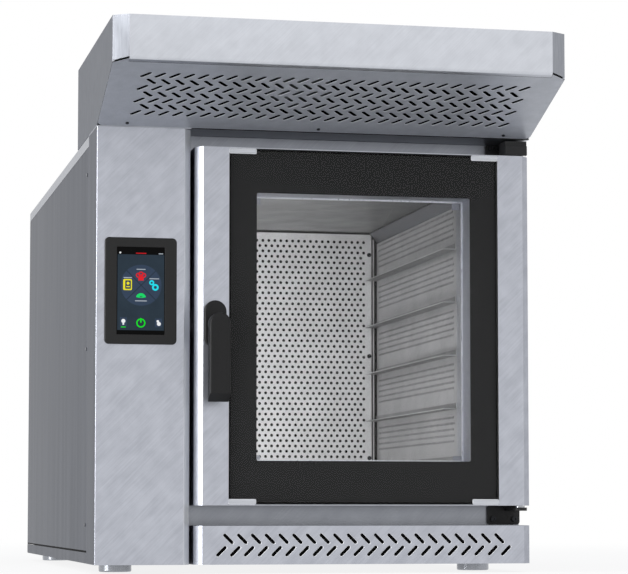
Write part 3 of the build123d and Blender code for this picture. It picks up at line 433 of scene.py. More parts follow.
# Insulation: slabs of mineral wool, pressed from short fibres and laid round the chamber.
# They look like dull yellow-grey felt. The real fibres are thinner than a hair. They are drawn
# 1.5 mm thick, so that they show.
askew = (0.6, 0.4, 0.2)
wool = finish(
    "mineral_wool_slab", "9C9468", "D8D0A4", (0.02, 0.0015, askew),
    roughness=0.9, relief=0.002, strength=0.8,
)
dress(wool, "chamber_insulation")


# Duct panels: stainless sheet with five rows of punched holes over each tray, folded towards the
# chamber wall at both ends. The matt sheet of the mill is painted brighter here than the chamber,
# as painted light. Its back and the walls of its holes are painted near black, as painted shade. In
# the mesh each hole has a cell of the sheet, and cells share corners.
def pierced_sheet(place, ends, rows, pitch, cuts, hole, fold=()):
    """A sheet with rows of holes, as one skin.

    place carries (across, up, depth) into the row frame, ends are the sheet's two sides, rows
    holds (low, high, hole centres), cuts are a cell's divisions along and up, and hole gives
    the loops from a cell's edge to its hole's."""
    bm = bmesh.new()
    known = {}
    centres = [centre for row in rows for centre in row[2]]
    step = pitch / cuts[0]
    start = min(centres) - pitch / 2
    count = round((max(centres) + pitch / 2 - start) / step)
    knots = [ends[0]] + [start + i * step for i in range(count + 1)] + [ends[1]]
    near = step / 100
    micron = 1e-6

    def point(across, up, depth=0.0):
        key = tuple(round(value / micron) for value in (across, up, depth))
        if key not in known:
            known[key] = bm.verts.new(place(across, up, depth))
        return known[key]

    def cell(first, last, low, high, centre=None):
        across = [u for u in knots if first - near <= u <= last + near]
        up = [low + (high - low) * i / cuts[1] for i in range(1, cuts[1])]
        loop = [(u, low) for u in across] + [(last, v) for v in up]
        loop += [(u, high) for u in reversed(across)] + [(first, v) for v in reversed(up)]
        outer = [point(*spot) for spot in loop]
        if centre is None:
            bm.faces.new(outer)
            return
        for ring in hole(centre, (low + high) / 2, loop):
            inner = [point(*spot) for spot in ring]
            for i in range(len(outer)):
                after = (i + 1) % len(outer)
                bm.faces.new((outer[i], outer[after], inner[after], inner[i]))
            outer = inner

    for low, high, holes in rows:
        at = ends[0]
        for centre in holes:
            if centre - pitch / 2 > at + near:
                cell(at, centre - pitch / 2, low, high)
            cell(centre - pitch / 2, centre + pitch / 2, low, high, centre)
            at = centre + pitch / 2
        if ends[1] > at + near:
            cell(at, ends[1], low, high)

    heights = sorted({
        low + (high - low) * i / cuts[1] for low, high, _ in rows for i in range(cuts[1] + 1)
    })
    heights = [v for i, v in enumerate(heights) if i == 0 or v - heights[i - 1] > micron]
    for edge, outward in ((ends[0], -1), (ends[1], 1)):
        before = [point(edge, v) for v in heights]
        for out, depth in fold:
            after = [point(edge + outward * out, v, depth) for v in heights]
            for i in range(len(heights) - 1):
                corners = (before[i], before[i + 1], after[i + 1], after[i])
                bm.faces.new(corners[::-outward])
            before = after
    bmesh.ops.recalc_face_normals(bm, faces=bm.faces)
    outward = Vector(place(0, 0, 0)) - Vector(place(0, 0, 1))
    if sum(face.normal.dot(outward) * face.calc_area() for face in bm.faces) < 0:
        bmesh.ops.reverse_faces(bm, faces=bm.faces)
    mesh = bpy.data.meshes.new("pierced_sheet")
    bm.to_mesh(mesh)
    bm.free()
    return mesh


sheet_thickness = 0.0015


def thick_sheet(name, mesh, material, node, back):
    """The skin as a sheet of its real thickness, in place of the node. The back and the walls
    of the holes have a finish of their own."""
    piece = stand_in(name, mesh, material, node)
    mesh.materials.append(back)
    plate = piece.modifiers.new("thickness", "SOLIDIFY")
    plate.thickness = sheet_thickness
    plate.offset = -1
    plate.material_offset = 1
    plate.material_offset_rim = 1
    return piece


def round_hole(radius):
    """A round hole with one point for each point of its cell's edge."""
    def loops(u, v, edge):
        ways = [Vector((across - u, up - v)).normalized() * radius for across, up in edge]
        return [[(u + way.x, v + way.y, 0.0) for way in ways]]
    return loops


def staggered(low, row_pitch, count, most, pitch, fewer=(1, 0)):
    """Rows of holes. In turn they have fewer holes, and are set in by half a pitch for each."""
    rows = []
    for i in range(count):
        held = most - fewer[i % 2]
        centres = [pitch * (j + (1 - held) / 2) for j in range(held)]
        rows.append((low + i * row_pitch, low + (i + 1) * row_pitch, centres))
    return rows


def edge_fold(radius, length):
    """The edge view of a fold: a quarter turn, then a straight flange."""
    turns = [math.radians(angle) for angle in (30, 60, 90)]
    arc = [(radius * math.sin(turn), radius * (1 - math.cos(turn))) for turn in turns]
    return arc + [(radius, length)]


mill_painted_light = finish(
    "stainless_steel_mill_painted_light", "C2C2C3", "D4D4D5", mill_clouds,
    roughness=0.55, metallic=0.75, wide=mill_shades,
)
bend_radius = 0.002
flange = 0.015
duct_pitch = 0.0093
duct_row = 0.0112
duct_holes = 66
duct_hole_radius = 0.0024
rows_over_tray = 5
first_row_drop = 0.0143
tray_pitch = 0.1
first_runner = 0.025
tray_levels = 5
top_gap = 0.002
roof_rise = 0.008

for side, node in ((1, "right_duct_panel"), (-1, "left_duct_panel")):
    low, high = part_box(node)
    face_x = low.x if side > 0 else high.x
    middle = (low.y + high.y) / 2
    half = (high.y - low.y) / 2 - bend_radius
    tall = high.z - low.z - top_gap

    def duct_place(across, up, depth):
        return (face_x + side * depth, middle - side * across, low.z + up)

    rows, at = [], 0.0
    for tray in range(1, tray_levels + 1):
        roof = first_runner + tray * tray_pitch if tray < tray_levels else tall + roof_rise
        start = roof - first_row_drop - (rows_over_tray - 0.5) * duct_row
        band = staggered(start, duct_row, rows_over_tray, duct_holes, duct_pitch)
        rows += [(at, start, [])] + band
        at = band[-1][1]
    rows.append((at, tall, []))
    mesh = pierced_sheet(
        duct_place, (-half, half), rows, duct_pitch, (2, 1), round_hole(duct_hole_radius),
        edge_fold(bend_radius, flange),
    )
    thick_sheet(node + "_punched", mesh, mill_painted_light, node, painted_shade_dark)

# Tray runners: ledges of folded stainless sheet, fixed to the duct panels and matt like the
# chamber. Their front ends and free edges are painted nearly white, as painted highlight. Its
# streaks are drawn 2 mm wide, so that they show.
runner_painted_highlight = finish(
    "stainless_steel_runner_painted_highlight", "E4E5E6", "F2F2F3", (0.08, 0.002, lengthwise),
    roughness=0.5, metallic=0.6,
)
ledge = 0.026
runner_painted_highlight_width = 0.001
free_edge = duct_reach - ledge + runner_painted_highlight_width
for side, node in ((1, "right_runners"), (-1, "left_runners")):
    runner = softened(node, mill_matt, 0.0004)
    refinish(runner, runner_painted_highlight, lambda face: (
        abs(face.normal.y) > squarely or side * (face.center.x - chamber_mid) < free_edge
    ))

# Rear baffle: stainless sheet punched all over and folded back at both sides, in a matt grey that
# is painted pale, as painted light. Its back and the walls of its holes are painted near black, as
# painted shade. The real holes are 4.6 mm wide. They are drawn 6.4 mm wide, so that they stay dark
# between the bright bridges.
baffle_pitch = 0.0129
baffle_row = baffle_pitch * math.sqrt(3) / 2
baffle_holes = 28
baffle_rows = 44
baffle_top = 0.0115
baffle_hole_radius = 0.0032
baffle_low, baffle_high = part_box("rear_baffle")
baffle_mid = (baffle_low.x + baffle_high.x) / 2
baffle_half = (baffle_high.x - baffle_low.x) / 2 - bend_radius
baffle_tall = baffle_high.z - baffle_low.z


def baffle_place(across, up, depth):
    return (baffle_mid + across, baffle_low.y + depth, baffle_low.z + up)


def with_margins(rows, tall):
    """The rows between the plain strips at the foot and at the head of their sheet."""
    return [(0.0, rows[0][0], [])] + rows + [(rows[-1][1], tall, [])]


start = baffle_tall - baffle_top - baffle_rows * baffle_row
rows = staggered(start, baffle_row, baffle_rows, baffle_holes, baffle_pitch)
mesh = pierced_sheet(
    baffle_place, (-baffle_half, baffle_half), with_margins(rows, baffle_tall), baffle_pitch,
    (4, 2), round_hole(baffle_hole_radius), edge_fold(bend_radius, flange),
)
baffle_painted_light = finish(
    "stainless_steel_baffle_painted_light", "E2E2E3", "F0F0F1", mill_clouds,
    roughness=0.55, metallic=0.75, wide=mill_shades,
)
thick_sheet("rear_baffle_punched", mesh, baffle_painted_light, "rear_baffle", painted_shade_dark)

# Baffle screws: steel with blackened heads, which hold the baffle to stand-offs on the rear
# wall. The blackening leaves a dark grey with a dull gleam and specks about 1 mm across.
blackened = finish(
    "steel_blackened", "2A2B2D", "3C3D40", (0.001, 0.001, level), roughness=0.4, metallic=1.0
)
dress(blackened, "baffle_screws")


# Corner posts: narrow upright strips beside the baffle, on which the duct panels hook. They are of
# the same matt sheet as those panels, with the same painted light.
def disc(x, z, radius, first=0, last=360, points=32):
    """Points of a circle or of a part of it, in millimetres."""
    count = points + (last - first < 360)
    turns = [math.radians(first + (last - first) * i / points) for i in range(count)]
    return [(x + radius * math.cos(turn), z + radius * math.sin(turn)) for turn in turns]


def oblong(x, z, wide, tall, corner=0.0):
    """Points of a rectangle about a middle, with rounded corners, in millimetres."""
    if corner == 0:
        return [(x + i * wide / 2, z + j * tall / 2) for i, j in corner_signs]
    spots = []
    for i, j, turn in ((1, 1, 0), (-1, 1, 90), (-1, -1, 180), (1, -1, 270)):
        centre = (x + i * (wide / 2 - corner), z + j * (tall / 2 - corner))
        spots += disc(*centre, corner, turn, turn + 90, 6)
    return spots


def ring(x, z, outer, inner, first=0, last=360):
    """A ring or part of one, as a pair of outer and inner loops."""
    return disc(x, z, outer, first, last), disc(x, z, inner, first, last)


def tiles(name, shapes, near, far, material, node):
    """Thin tiles before the middle of a node, from one depth to another, that ride with it.

    A shape is a loop of points in millimetres, or a pair of loops for a ring."""
    bm = bmesh.new()
    low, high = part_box(node)
    middle = (low + high) / 2

    def corner(spot, y):
        return bm.verts.new((middle.x + spot[0] / 1000, y, middle.z + spot[1] / 1000))

    for shape in shapes:
        hollow = isinstance(shape, tuple)
        loops = shape if hollow else (shape,)
        fronts = [[corner(spot, near) for spot in loop] for loop in loops]
        backs = [[corner(spot, far) for spot in loop] for loop in loops]
        count = len(loops[0])
        closed = not hollow or Vector(loops[0][0]) != Vector(loops[0][-1])
        for i in range(count if closed else count - 1):
            after = (i + 1) % count
            for front, back in zip(fronts, backs):
                bm.faces.new((front[i], front[after], back[after], back[i]))
            if hollow:
                for outer, inner in (fronts, backs):
                    bm.faces.new((outer[i], outer[after], inner[after], inner[i]))
        if not hollow:
            bm.faces.new(fronts[0])
            bm.faces.new(backs[0])
    bmesh.ops.recalc_face_normals(bm, faces=bm.faces)
    mesh = bpy.data.meshes.new(name)
    bm.to_mesh(mesh)
    bm.free()
    return stand_in(name, mesh, material, node, replace=False)


post_wide = 3
post_off = 197
post_short = 20
post_back = 0.006
post_tall = baffle_tall * 1000 - post_short
post_front = baffle_low.y + post_back
posts = [oblong(side * post_off, 0, post_wide, post_tall) for side in (-1, 1)]
tiles(
    "corner_posts", posts, post_front, post_front + sheet_thickness, mill_painted_light, "rear_baffle"
)


# Chamber lamp: a clear lens of borosilicate glass in a stainless cup, flush in the ceiling,
# with a bulb that lights the chamber. A strip of light low behind the window stands for what
# the walls and the floor throw back.
def sheet_glass(name, tint, mirror):
    """Clear glass that lamps shine through. It mirrors a little, and more at a flat angle."""
    material = bpy.data.materials.new(name)
    tree = bare_tree(material)
    through = add(tree, "BsdfTransparent", {"Color": linear(tint)})
    gloss = add(tree, "BsdfGlossy", {"Color": linear("FFFFFF"), "Roughness": 0.02})
    angle = add(tree, "Fresnel", {"IOR": 1.5})
    share = add(tree, "Math", {0: angle.outputs[0], 1: mirror}, operation="MULTIPLY")
    both = {0: share.outputs[0], 1: through.outputs[0], 2: gloss.outputs[0]}
    add(tree, "OutputMaterial", {"Surface": add(tree, "MixShader", both).outputs[0]})
    return material


dress(sheet_glass("borosilicate_glass", "F2F2F2", mirror=0.5), "lamp_glass")
# The stainless cup has the same painted light as the duct panels.
dress(mill_painted_light, "lamp_holder")
lens_low, lens_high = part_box("lamp_glass")
bulb_drop = 0.006
bulb = ((lens_low.x + lens_high.x) / 2, (lens_low.y + lens_high.y) / 2, lens_low.z - bulb_drop)
softbox("chamber_bulb", bulb, target=(0.0, 0.2, 0.3), size=(0.05, 0.05), power=0.9)
softbox(
    "chamber_fill", (-0.07, -0.45, 0.192), target=(0.0, 0.2, 0.45), size=(0.2, 0.03), power=2.1
)

# Vapour pipe and the parts behind the baffle: a welded stainless pipe, a pressed fan wheel on a
# ground shaft, a tubular heater, and enamelled motors. The wheel is painted near black, as painted
# shade behind the baffle. The heater is dark with heat, the shaft gleams, and the motors are an
# even dark grey. Scratches and specks are drawn 1 to 3 mm wide, so that they show.
dress(mill_matt, "steam_pipe")
dress(painted_shade_dark, "fan_impeller")
ground_pin = finish(
    "steel_ground", "9A9CA0", "B8BABE", (0.02, 0.0008, lengthwise), roughness=0.2, metallic=1.0
)
dress(ground_pin, "fan_shaft", "hinge_pins", "handle_spindle", "latch_pawl", "latch_keeper")
heated = finish(
    "nickel_alloy_oxidised", "1E1B19", "2E2A27", (0.01, 0.01, level),
    roughness=0.5, metallic=0.7,
)
dress(heated, "ring_heater")
enamelled = finish(
    "cast_aluminium_grey_enamel", "484C50", "5A5E62", (0.003, 0.003, level),
    roughness=0.42, strength=0.3,
)
dress(enamelled, "fan_motor", "hood_fan_motor")

# Control column: a tall folded cover of stainless sheet, ground in a slanted direction like the
# door, and darkened in what it mirrors at a flat angle, as painted shade. The belt lifts and lands
# every 20 to 30 mm, which gives a light cloudiness. Its left side is ground upright like the
# covers, and painted darker like them, as painted shade. Its folds are duller, and its bevel is
# painted lighter, as painted light.
slant_clouds = (0.03, 0.02, slanted)
fold_grain = (0.02, 0.002, upright)
ground_front = finish(
    "stainless_steel_ground_slanted", "AEB1BA", "BEC1CA", (0.09, 0.0026, slanted),
    roughness=0.36, metallic=1.0, wide=slant_clouds, reflection_shade=0.3,
)
folded_dull = finish(
    "stainless_steel_folded_dull", "ACAFB6", "BABDC4", fold_grain, roughness=0.5, metallic=1.0
)
column_piece = softened("control_column", ground_front, 0.001, edge=folded_dull)
refinish(column_piece, ground_upright_painted_shade, lambda face: face.normal.x < -squarely)
column_bevel_painted_light = finish(
    "stainless_steel_ground_bevel_painted_light", "D0D3D9", "DCDFE4", (0.03, 0.002, upright),
    roughness=0.5, metallic=1.0,
)
refinish(column_piece, column_bevel_painted_light, lambda face: (
    face.normal.x > slightly and face.normal.y < -slightly
))

# Touch panel: a bezel of satin black polycarbonate, moulded with a fine grain that blurs what
# it mirrors, round the smooth and deeper black glass of a display. Both are set into the
# column. The picture on the glass is made of thin plain shapes.
satin_black = finish(
    "polycarbonate_satin_black", "151515", "1C1C1C", (0.0008, 0.0008, level),
    roughness=0.42, specular=0.3,
)
softened("screen_bezel", satin_black, 0.0006)
display_black = finish(
    "display_glass_black", "020202", "040404", (0.03, 0.03, level),
    roughness=0.12, strength=0.0, specular=0.06,
)
dress(display_black, "touch_display")


def lit(name, colour):
    """A colour of the display, lit from behind, with the faint unevenness of its lamp."""
    material, tree, shader = principled(name)
    uneven = add(tree, "MapRange", {
        "Value": streaks(tree, 0.02, 0.02), "From Min": 0.3, "From Max": 0.7,
        "To Min": 0.92, "To Max": 1.06,
    })
    connect(tree, shader, {
        "Base Color": linear("020202"), "Roughness": 0.2, "Specular IOR Level": 0.06,
        "Emission Color": linear(colour), "Emission Strength": uneven.outputs[0],
    })
    return material


glass_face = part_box("touch_display")[0].y
layer = 0.0001


def picture(name, colour, shapes, layers_up):
    """One colour of the picture, on its own layer above the glass."""
    near = glass_face - layers_up * layer
    paint = lit("display_" + colour, colour)
    tiles("display_" + name, shapes, near, near + layer, paint, "touch_display")


# A dark field with a dial and two tiles on it. A cross divides the dial.
dial = Vector((0.5, 9.9))
dial_radius = 36.5
cross_half_wide = 0.7
cross = []
for turn in (45, 135):
    way = Vector((math.cos(math.radians(turn)), math.sin(math.radians(turn)))) * dial_radius
    across = Vector((-way.y, way.x)).normalized() * cross_half_wide
    corners = (way + across, across - way, -way - across, way - across)
    cross.append([dial + corner for corner in corners])
picture("field", "2A3641", [oblong(0, -2.9, 83.4, 134.8)], 1)
picture("dial", "344256", [disc(*dial, dial_radius, points=64)], 2)
picture("tiles", "344256", [oblong(-30.9, -55.4, 12.3, 15.6), oblong(31.8, -56.7, 12.3, 15.6)], 2)
picture("cross", "25303C", cross, 3)

# Four marks in the dial's quarters: a baker's hat, a book, two wheels and an arch.
hat_thickness = 0.45
puffs = [
    ring(x, z, radius, radius * (1 - hat_thickness))
    for x, z, radius in ((-4.6, 27.6, 4.4), (4.9, 27.6, 4.4), (0.2, 29.6, 4.8))
]
picture("hat", "D8202A", [oblong(0.2, 21.8, 9.5, 7.0)] + puffs, 3)
covers = (oblong(-23.8, 10.6, 15.7, 19.7, 2.5), oblong(-22.9, 10.6, 10.2, 15.2, 1.2))
picture("book", "E8E02A", [covers, disc(-22.9, 13.0, 2.6), oblong(-22.9, 7.0, 6.0, 2.0)], 3)
picture("wheels", "20E0F0", [ring(19.4, 14.7, 4.5, 1.9), ring(25.9, 6.5, 6.0, 2.8)], 3)
picture("arch", "18D868", [ring(0.3, -13.2, 9.0, 3.6, 12, 168)], 3)

# The marks at the foot, and plain bars in place of words.
power = [ring(0.3, -57.3, 8.2, 5.9, 115, 425), oblong(0.3, -52.6, 2.4, 8.0)]
picture("power", "10E020", power + [oblong(-30.9, -64.9, 8.5, 1.4)], 3)
bulb_mark = [disc(-30.9, -54.2, 3.6), oblong(-30.9, -59.2, 2.8, 3.4)]
drop_mark = [disc(32.6, -58.6, 3.5), disc(30.6, -54.0, 2.3)]
picture("marks", "F0F2F4", bulb_mark + drop_mark + [disc(-37.0, 67.4, 1.6)], 3)
bars = ((0.2, 38.2, 16), (-23.4, 23.0, 15), (24.0, 21.8, 17), (0.3, -18.0, 21), (35.6, 66.6, 8))
picture("lines", "A8B0BA", [oblong(x, z, wide, 1.6) for x, z, wide in bars], 3)
picture("alarm_line", "C01820", [oblong(0.3, 66.9, 18.5, 1.8)], 3)

# Boards and switchgear behind the column: boards under a green solder mask with a soft gloss,
# and moulded housings of matt grey polyamide, screwed to the component plate.
solder_mask = finish(
    "solder_mask_green", "144A2A", "1E6238", (0.003, 0.003, level), roughness=0.3
)
dress(solder_mask, "control_board", "power_board")
grey_polyamide = finish(
    "polyamide_light_grey", "8E9092", "A4A6A8", (0.001, 0.001, level), roughness=0.5
)
dress(grey_polyamide, "contactors", "terminal_block")

# Cable gland and water valve, set in the rear panel: a moulded gland of matt dark
# polyamide, like the hood fan's rotor, and a turned brass valve, which is yellow with bright
# rings, drawn 0.6 mm apart, so that they show.
dark_polyamide = finish(
    "polyamide_dark_grey", "242528", "303134", (0.001, 0.001, level), roughness=0.5
)
dress(dark_polyamide, "cable_gland", "hood_fan_rotor")
brass = finish(
    "brass_turned", "A88445", "C4A05C", (0.002, 0.0006, level), roughness=0.26, metallic=1.0
)
dress(brass, "water_valve", "hinge_bushings")

# Door: a folded skin of ground stainless sheet, whose folds are painted bright, as painted
# highlight, and a tunnel of the same sheet round the window behind the outer glass, which closes
# the door from behind. The tunnel is painted darker, as painted shade.
folded_painted_highlight = finish(
    "stainless_steel_folded_edge_painted_highlight", "DADCE1", "E8EAEE", fold_grain, roughness=0.3, metallic=1.0
)
softened("door_shell", ground_front, 0.0009, edge=folded_painted_highlight)
ground_tunnel_painted_shade = finish(
    "stainless_steel_ground_tunnel_painted_shade", "A6A9B3", "B2B5BE", (0.09, 0.002, slanted),
    roughness=0.4, metallic=1.0, wide=slant_clouds,
)
softened("door_inner_panel", ground_tunnel_painted_shade, 0.0005)

# Outer glass: one pane of clear tempered glass, bonded to the front of the door. It mirrors
# only faintly, and its ground edges look dark.
ground_edge = finish(
    "glass_edge_ground", "0C0E0D", "161918", (0.003, 0.003, level), roughness=0.3
)
edge_bevel = 0.0006


def pane(name, node, clear):
    """A pane in place of a node, whose edges are ground to a small bevel."""
    bm = bmesh.new()
    low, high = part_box(node)
    depths = [
        (low.y, edge_bevel), (low.y + edge_bevel, 0.0), (high.y - edge_bevel, 0.0),
        (high.y, edge_bevel),
    ]
    loops = []
    for y, inset in depths:
        left, right, foot, head = low.x + inset, high.x - inset, low.z + inset, high.z - inset
        spots = ((left, foot), (right, foot), (right, head), (left, head))
        loops.append([bm.verts.new((x, y, z)) for x, z in spots])
    for one, two in zip(loops, loops[1:]):
        for i in range(4):
            side = bm.faces.new((one[i], one[(i + 1) % 4], two[(i + 1) % 4], two[i]))
            side.material_index = 1
    bm.faces.new(loops[0])
    bm.faces.new(loops[-1])
    bmesh.ops.recalc_face_normals(bm, faces=bm.faces)
    mesh = bpy.data.meshes.new(name)
    bm.to_mesh(mesh)
    bm.free()
    stand_in(name, mesh, clear, node)
    mesh.materials.append(ground_edge)


clear_glass = sheet_glass("glass_tempered_clear", "FCFCFC", mirror=0.15)
pane("door_outer_pane", "door_outer_glass", clear_glass)

# Printed border: a black ceramic print, fired on the back of the outer glass. Its grains are
# too fine to see, and it gives an even dull black round the window.
glass_low, glass_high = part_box("door_outer_glass")
window_size = (397, 482)
window_drop = 0.5
print_inset = 1.5
print_corner = 3.0
print_layer = 0.0001
glass_wide, glass_tall = [(glass_high[i] - glass_low[i]) * 1000 - print_inset for i in (0, 2)]
printed = finish(
    "ceramic_print_black", "242424", "2A2A2A", (0.0006, 0.0006, level),
    roughness=0.6, strength=0.0, specular=0.1,
)
border = (
    oblong(0, 0, glass_wide, glass_tall, print_corner),
    oblong(0, -window_drop, *window_size, print_corner),
)
tiles(
    "door_glass_border", [border], glass_high.y - 2 * print_layer, glass_high.y - print_layer,
    printed, "door_outer_glass",
)

# Bond line: a silicone bead that holds the glass in the door. It shows as a thin line round the
# print, of a deeper black, painted as the shadow in the gap between the glass and the door.
bond = 3.0
bond_corner = 2.0
bond_shadow_black = finish(
    "silicone_black_painted_shadow", "010101", "030303", (0.002, 0.002, level), roughness=0.7, specular=0.1
)
bond_shape = (
    oblong(0, 0, glass_wide, glass_tall, print_corner),
    oblong(0, 0, glass_wide - 2 * bond, glass_tall - 2 * bond, bond_corner),
)
tiles(
    "door_glass_bond_shadow", [bond_shape], glass_high.y - 6 * print_layer,
    glass_high.y - 4 * print_layer, bond_shadow_black, "door_outer_glass",
)

# Inner glass: a clear pane with a heat-reflecting coating, which greys it a little, held at
# its corners by small stainless angles.
coated = sheet_glass("glass_heat_reflecting", "F6F6F6", mirror=0.2)
pane("door_inner_pane", "door_inner_glass", coated)
# The angles have the same painted shade as the tunnel.
softened("inner_glass_holders", ground_tunnel_painted_shade, 0.0004)

# Window bead: a folded strip of stainless sheet before the inner glass, painted bright as a
# highlight, which shows as a light line round the window.
bead = 2.5
bead_rise = 1.5
bead_corner = 2.0
bead_depth = 0.005
bead_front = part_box("door_inner_glass")[0].y - bead_depth
bead_shape = tuple(
    oblong(0, bead_rise, window_size[0] - 2 * inset, window_size[1] - 2 * inset, bead_corner)
    for inset in (0, bead)
)
tiles(
    "window_bead", [bead_shape], bead_front, bead_front + bead_depth, folded_painted_highlight,
    "door_inner_glass",
)

# Clips over the corners of the outer glass: short flat strips of stainless steel that hold it to
# the door. They are rolled bright and rounded at their edges, and look whiter than the sheet round
# them. Their rounded edges are painted brighter still, as painted highlight.
bright_strip = finish(
    "stainless_steel_bright", "BABDC3", "C8CBD1", (0.05, 0.001, level),
    roughness=0.3, metallic=1.0,
)
softened("glass_clips", bright_strip, 0.0011, segments=3, edge=folded_painted_highlight)

# Door gasket: a lip of extruded silicone, pressed on round the chamber mouth. It is a dull
# dark grey.
silicone = finish(
    "silicone_dark_grey", "1B1C1E", "28292B", (0.002, 0.002, level), roughness=0.6
)
dress(silicone, "door_gasket")

# Hinges: steel plates and arms under a black powder coat, with socket screws of blackened
# steel, and a cap over the upper arm. The coat has an orange peel about 1.6 mm across, which
# breaks up its gloss.
powder_coat = finish(
    "steel_black_powder_coat", "1B1B1C", "242425", (0.0016, 0.0016, level),
    roughness=0.45, strength=0.4, specular=0.3,
)
for node in ("lower_hinge_bracket", "upper_hinge_bracket", "upper_hinge_cap"):
    softened(node, powder_coat, 0.0006)
softened("hinge_screws", blackened, 0.0004)

# Handle: moulded from black glass-filled polyamide and screwed to the door. Its edges are
# softly rounded. The real grain of the mould is 0.3 mm across. It is drawn 1.2 mm across, and
# gives a matt black that is lighter where light grazes it.
moulded_black = finish(
    "polyamide_moulded_black", "121213", "1A1A1B", (0.0012, 0.0012, level),
    roughness=0.42, strength=0.3, specular=0.25,
)
softened("handle_base", moulded_black, 0.0008)
softened("door_lever", moulded_black, 0.001, segments=3)

# Slotted panel below the door: ground stainless sheet with two rows of slanted slots, which a press
# cuts and draws in a little. The drawn rim round each is painted near white, as painted highlight,
# and the back and the walls of the slots are painted black, as painted shade. Its sides are folded
# back to the frame.
slot_length = 0.0245
slot_pitch = 0.025
slot_rim = 0.0014
slot_sink = 0.0005
slots_fewer = (0, 1)
slot_cuts = (4, 4)

# The points round a slot: which end of its axis each turns about, and by how many degrees.
slot_outline = [(1, 0), (1, 30), (1, 60), (1, 90), (0, 90)]
slot_outline += [(-1, turn) for turn in range(90, 271, 30)]
slot_outline += [(0, 270), (1, 270), (1, 300), (1, 330)]


def slanted_slot(first_mid, row_pitch, breadth):
    """A slot that rises in one row and falls in the next, with its edge drawn in."""
    reach = (slot_length - breadth) / 2

    def loops(u, v, edge):
        # Point 8 of the cell's edge is its upper right corner, and point 12 its upper left one.
        falling = round((v - first_mid) / row_pitch) % 2 == 1
        first = 12 if falling else 8
        axis = Vector((-1 if falling else 1, 1)).normalized()
        normal = Vector((-axis.y, axis.x))
        rings = []
        for grow, depth in ((slot_rim, 0.0), (slot_rim / 3, slot_sink / 3), (0.0, slot_sink)):
            spots = []
            for end, turn in slot_outline[-first:] + slot_outline[:-first]:
                angle = math.radians(turn)
                way = axis * math.cos(angle) + normal * math.sin(angle)
                spot = axis * end * reach + way * (breadth / 2 + grow)
                spots.append((u + spot.x, v + spot.y, depth))
            rings.append(spots)
        return rings
    return loops


vent_low, vent_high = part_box("vent_panel")
vent_mid = (vent_low.x + vent_high.x) / 2
vent_tall = vent_high.z - vent_low.z
vent_depth = vent_high.y - vent_low.y
vent_chamfer = 0.014
flat_half = (vent_high.x - vent_low.x) / 2 - vent_chamfer
vent_first = 0.0237
vent_row_pitch = 0.022
vent_rows = 2
vent_slots = 22
vent_slot_width = 0.006


def vent_place(across, up, depth):
    return (vent_mid + across, vent_low.y + depth, vent_low.z + up)


start = vent_first - vent_row_pitch / 2
rows = staggered(start, vent_row_pitch, vent_rows, vent_slots, slot_pitch, slots_fewer)
mesh = pierced_sheet(
    vent_place, (-flat_half, flat_half), with_margins(rows, vent_tall), slot_pitch, slot_cuts,
    slanted_slot(vent_first, vent_row_pitch, vent_slot_width),
    fold=[(vent_chamfer, vent_chamfer), (vent_chamfer, vent_depth)],
)
vent_panel = thick_sheet("vent_panel_slotted", mesh, ground_front, "vent_panel", painted_shade_black)
flat_share = 0.98
drawn_rim_painted_highlight = finish(
    "stainless_steel_drawn_rim_painted_highlight", "EDEFF3", "F8F9FB", (0.01, 0.002, level),
    roughness=0.45, metallic=1.0,
)
refinish(vent_panel, drawn_rim_painted_highlight, lambda face: (
    abs(face.normal.y) < flat_share and abs(face.center.x - vent_mid) < flat_half - slot_rim
))

# Hood: ground stainless sheet, folded to a tall fascia that is painted lighter than the door, as
# painted light, with bevels at its corners painted darker, as painted shade. What the fascia
# mirrors at a flat angle is darkened, as painted shade. Its front edge is rolled under and ends in
# a lip, and its folds are painted bright, as painted highlight. Inside it is painted black, as
# painted shade.
ground_hood_painted_light = finish(
    "stainless_steel_ground_hood_painted_light", "C6C9D0", "D1D4DB", (0.09, 0.002, slanted),
    roughness=0.36, metallic=1.0, wide=slant_clouds, reflection_shade=0.1,
)
ground_corner_painted_shade = finish(
    "stainless_steel_ground_corner_painted_shade", "90939A", "9A9DA4", (0.03, 0.002, upright),
    roughness=0.38, metallic=1.0,
)
hood_piece = softened("hood_shell", ground_hood_painted_light, 0.001, edge=folded_painted_highlight)
hood_low, hood_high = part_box("hood_shell")
hood_mid = (hood_low + hood_high) / 2
refinish(hood_piece, ground_corner_painted_shade, lambda face: (
    abs(face.normal.x) > slightly and face.normal.y < -mostly
))
refinish(hood_piece, painted_shade_black, lambda face: face.normal.dot(hood_mid - face.center) > 0)
dress(blackened, "hood_screws")

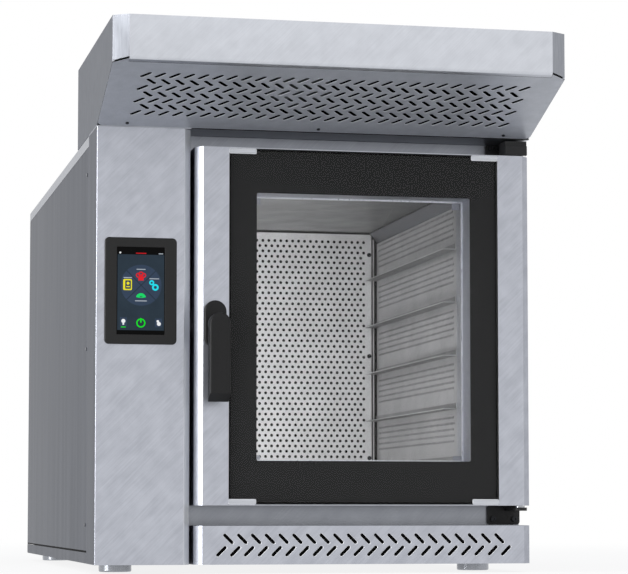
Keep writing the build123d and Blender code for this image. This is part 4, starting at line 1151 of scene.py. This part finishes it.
# Slotted plate under the hood: ground stainless sheet with seven rows of slots that slant to and
# fro, each with a rim painted brighter, as painted highlight. Three screws hold it along its rear
# edge. It is painted darker than the fascia, as painted shade and a painted reflection of the dark
# door. Its back and the walls of its slots are painted black, as painted shade.
ground_plate_painted_shade = finish(
    "stainless_steel_ground_plate_painted_shade", "9DA0A7", "A9ACB3", (0.09, 0.002, slanted),
    roughness=0.36, metallic=0.5, wide=slant_clouds,
)
plate_rim_painted_highlight = finish(
    "stainless_steel_plate_rim_painted_highlight", "C8CBD1", "D4D7DC", (0.01, 0.002, level),
    roughness=0.45, metallic=0.5,
)
plate_low, plate_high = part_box("hood_underside")
rise = plate_high.z - plate_low.z - sheet_thickness
run = plate_high.y - plate_low.y
slope = math.atan2(rise, run)
plate_long = math.hypot(rise, run)
plate_first = 0.0506
plate_row_pitch = 0.023
plate_rows = 7
plate_slots = 28
plate_slot_width = 0.0068


def plate_place(across, up, depth):
    y = plate_high.y - up * math.cos(slope) + depth * math.sin(slope)
    return (across, y, plate_low.z + up * math.sin(slope) + depth * math.cos(slope))


start = plate_first - plate_row_pitch / 2
rows = staggered(start, plate_row_pitch, plate_rows, plate_slots, slot_pitch, slots_fewer)
mesh = pierced_sheet(
    plate_place, (plate_low.x, plate_high.x), with_margins(rows, plate_long), slot_pitch,
    slot_cuts, slanted_slot(plate_first, plate_row_pitch, plate_slot_width),
)

# The front corners follow the bevels of the hood, and between them the plate ends behind the
# lip. The rear corners are rounded.
plate_bevel = (0.0265, 0.0162)
plate_round = 0.012
lip_deep = 0.0111
lip_edge = plate_low.y + lip_deep
bevel_start = plate_high.x - plate_bevel[0]
cut(mesh, (0, lip_edge, 0), (0, 1, 0))
for side in (-1, 1):
    centre = Vector((side * (plate_high.x - plate_round), plate_high.y - plate_round, 0))
    for turn in (22.5, 45, 67.5):
        angle = math.radians(turn)
        way = Vector((side * math.cos(angle), math.sin(angle), 0))
        cut(mesh, centre + way * plate_round, way, trim=True)
    bevel_way = (side * plate_bevel[1], -plate_bevel[0], 0)
    cut(mesh, (side * bevel_start, plate_low.y, 0), bevel_way, trim=True)
    cut(mesh, (side * bevel_start, 0, 0), (side, 0, 0))
bm = bmesh.new()
bm.from_mesh(mesh)
spots = [(face, face.calc_center_median()) for face in bm.faces]
covered = [face for face, spot in spots if spot.y < lip_edge and abs(spot.x) < bevel_start]
bmesh.ops.delete(bm, geom=covered, context="FACES")
bm.to_mesh(mesh)
bm.free()
underside = thick_sheet(
    "hood_underside_slotted", mesh, ground_plate_painted_shade, "hood_underside", painted_shade_black
)
facing = Vector((0, -math.sin(slope), -math.cos(slope)))
refinish(underside, plate_rim_painted_highlight, lambda face: abs(face.normal.dot(facing)) < flat_share)
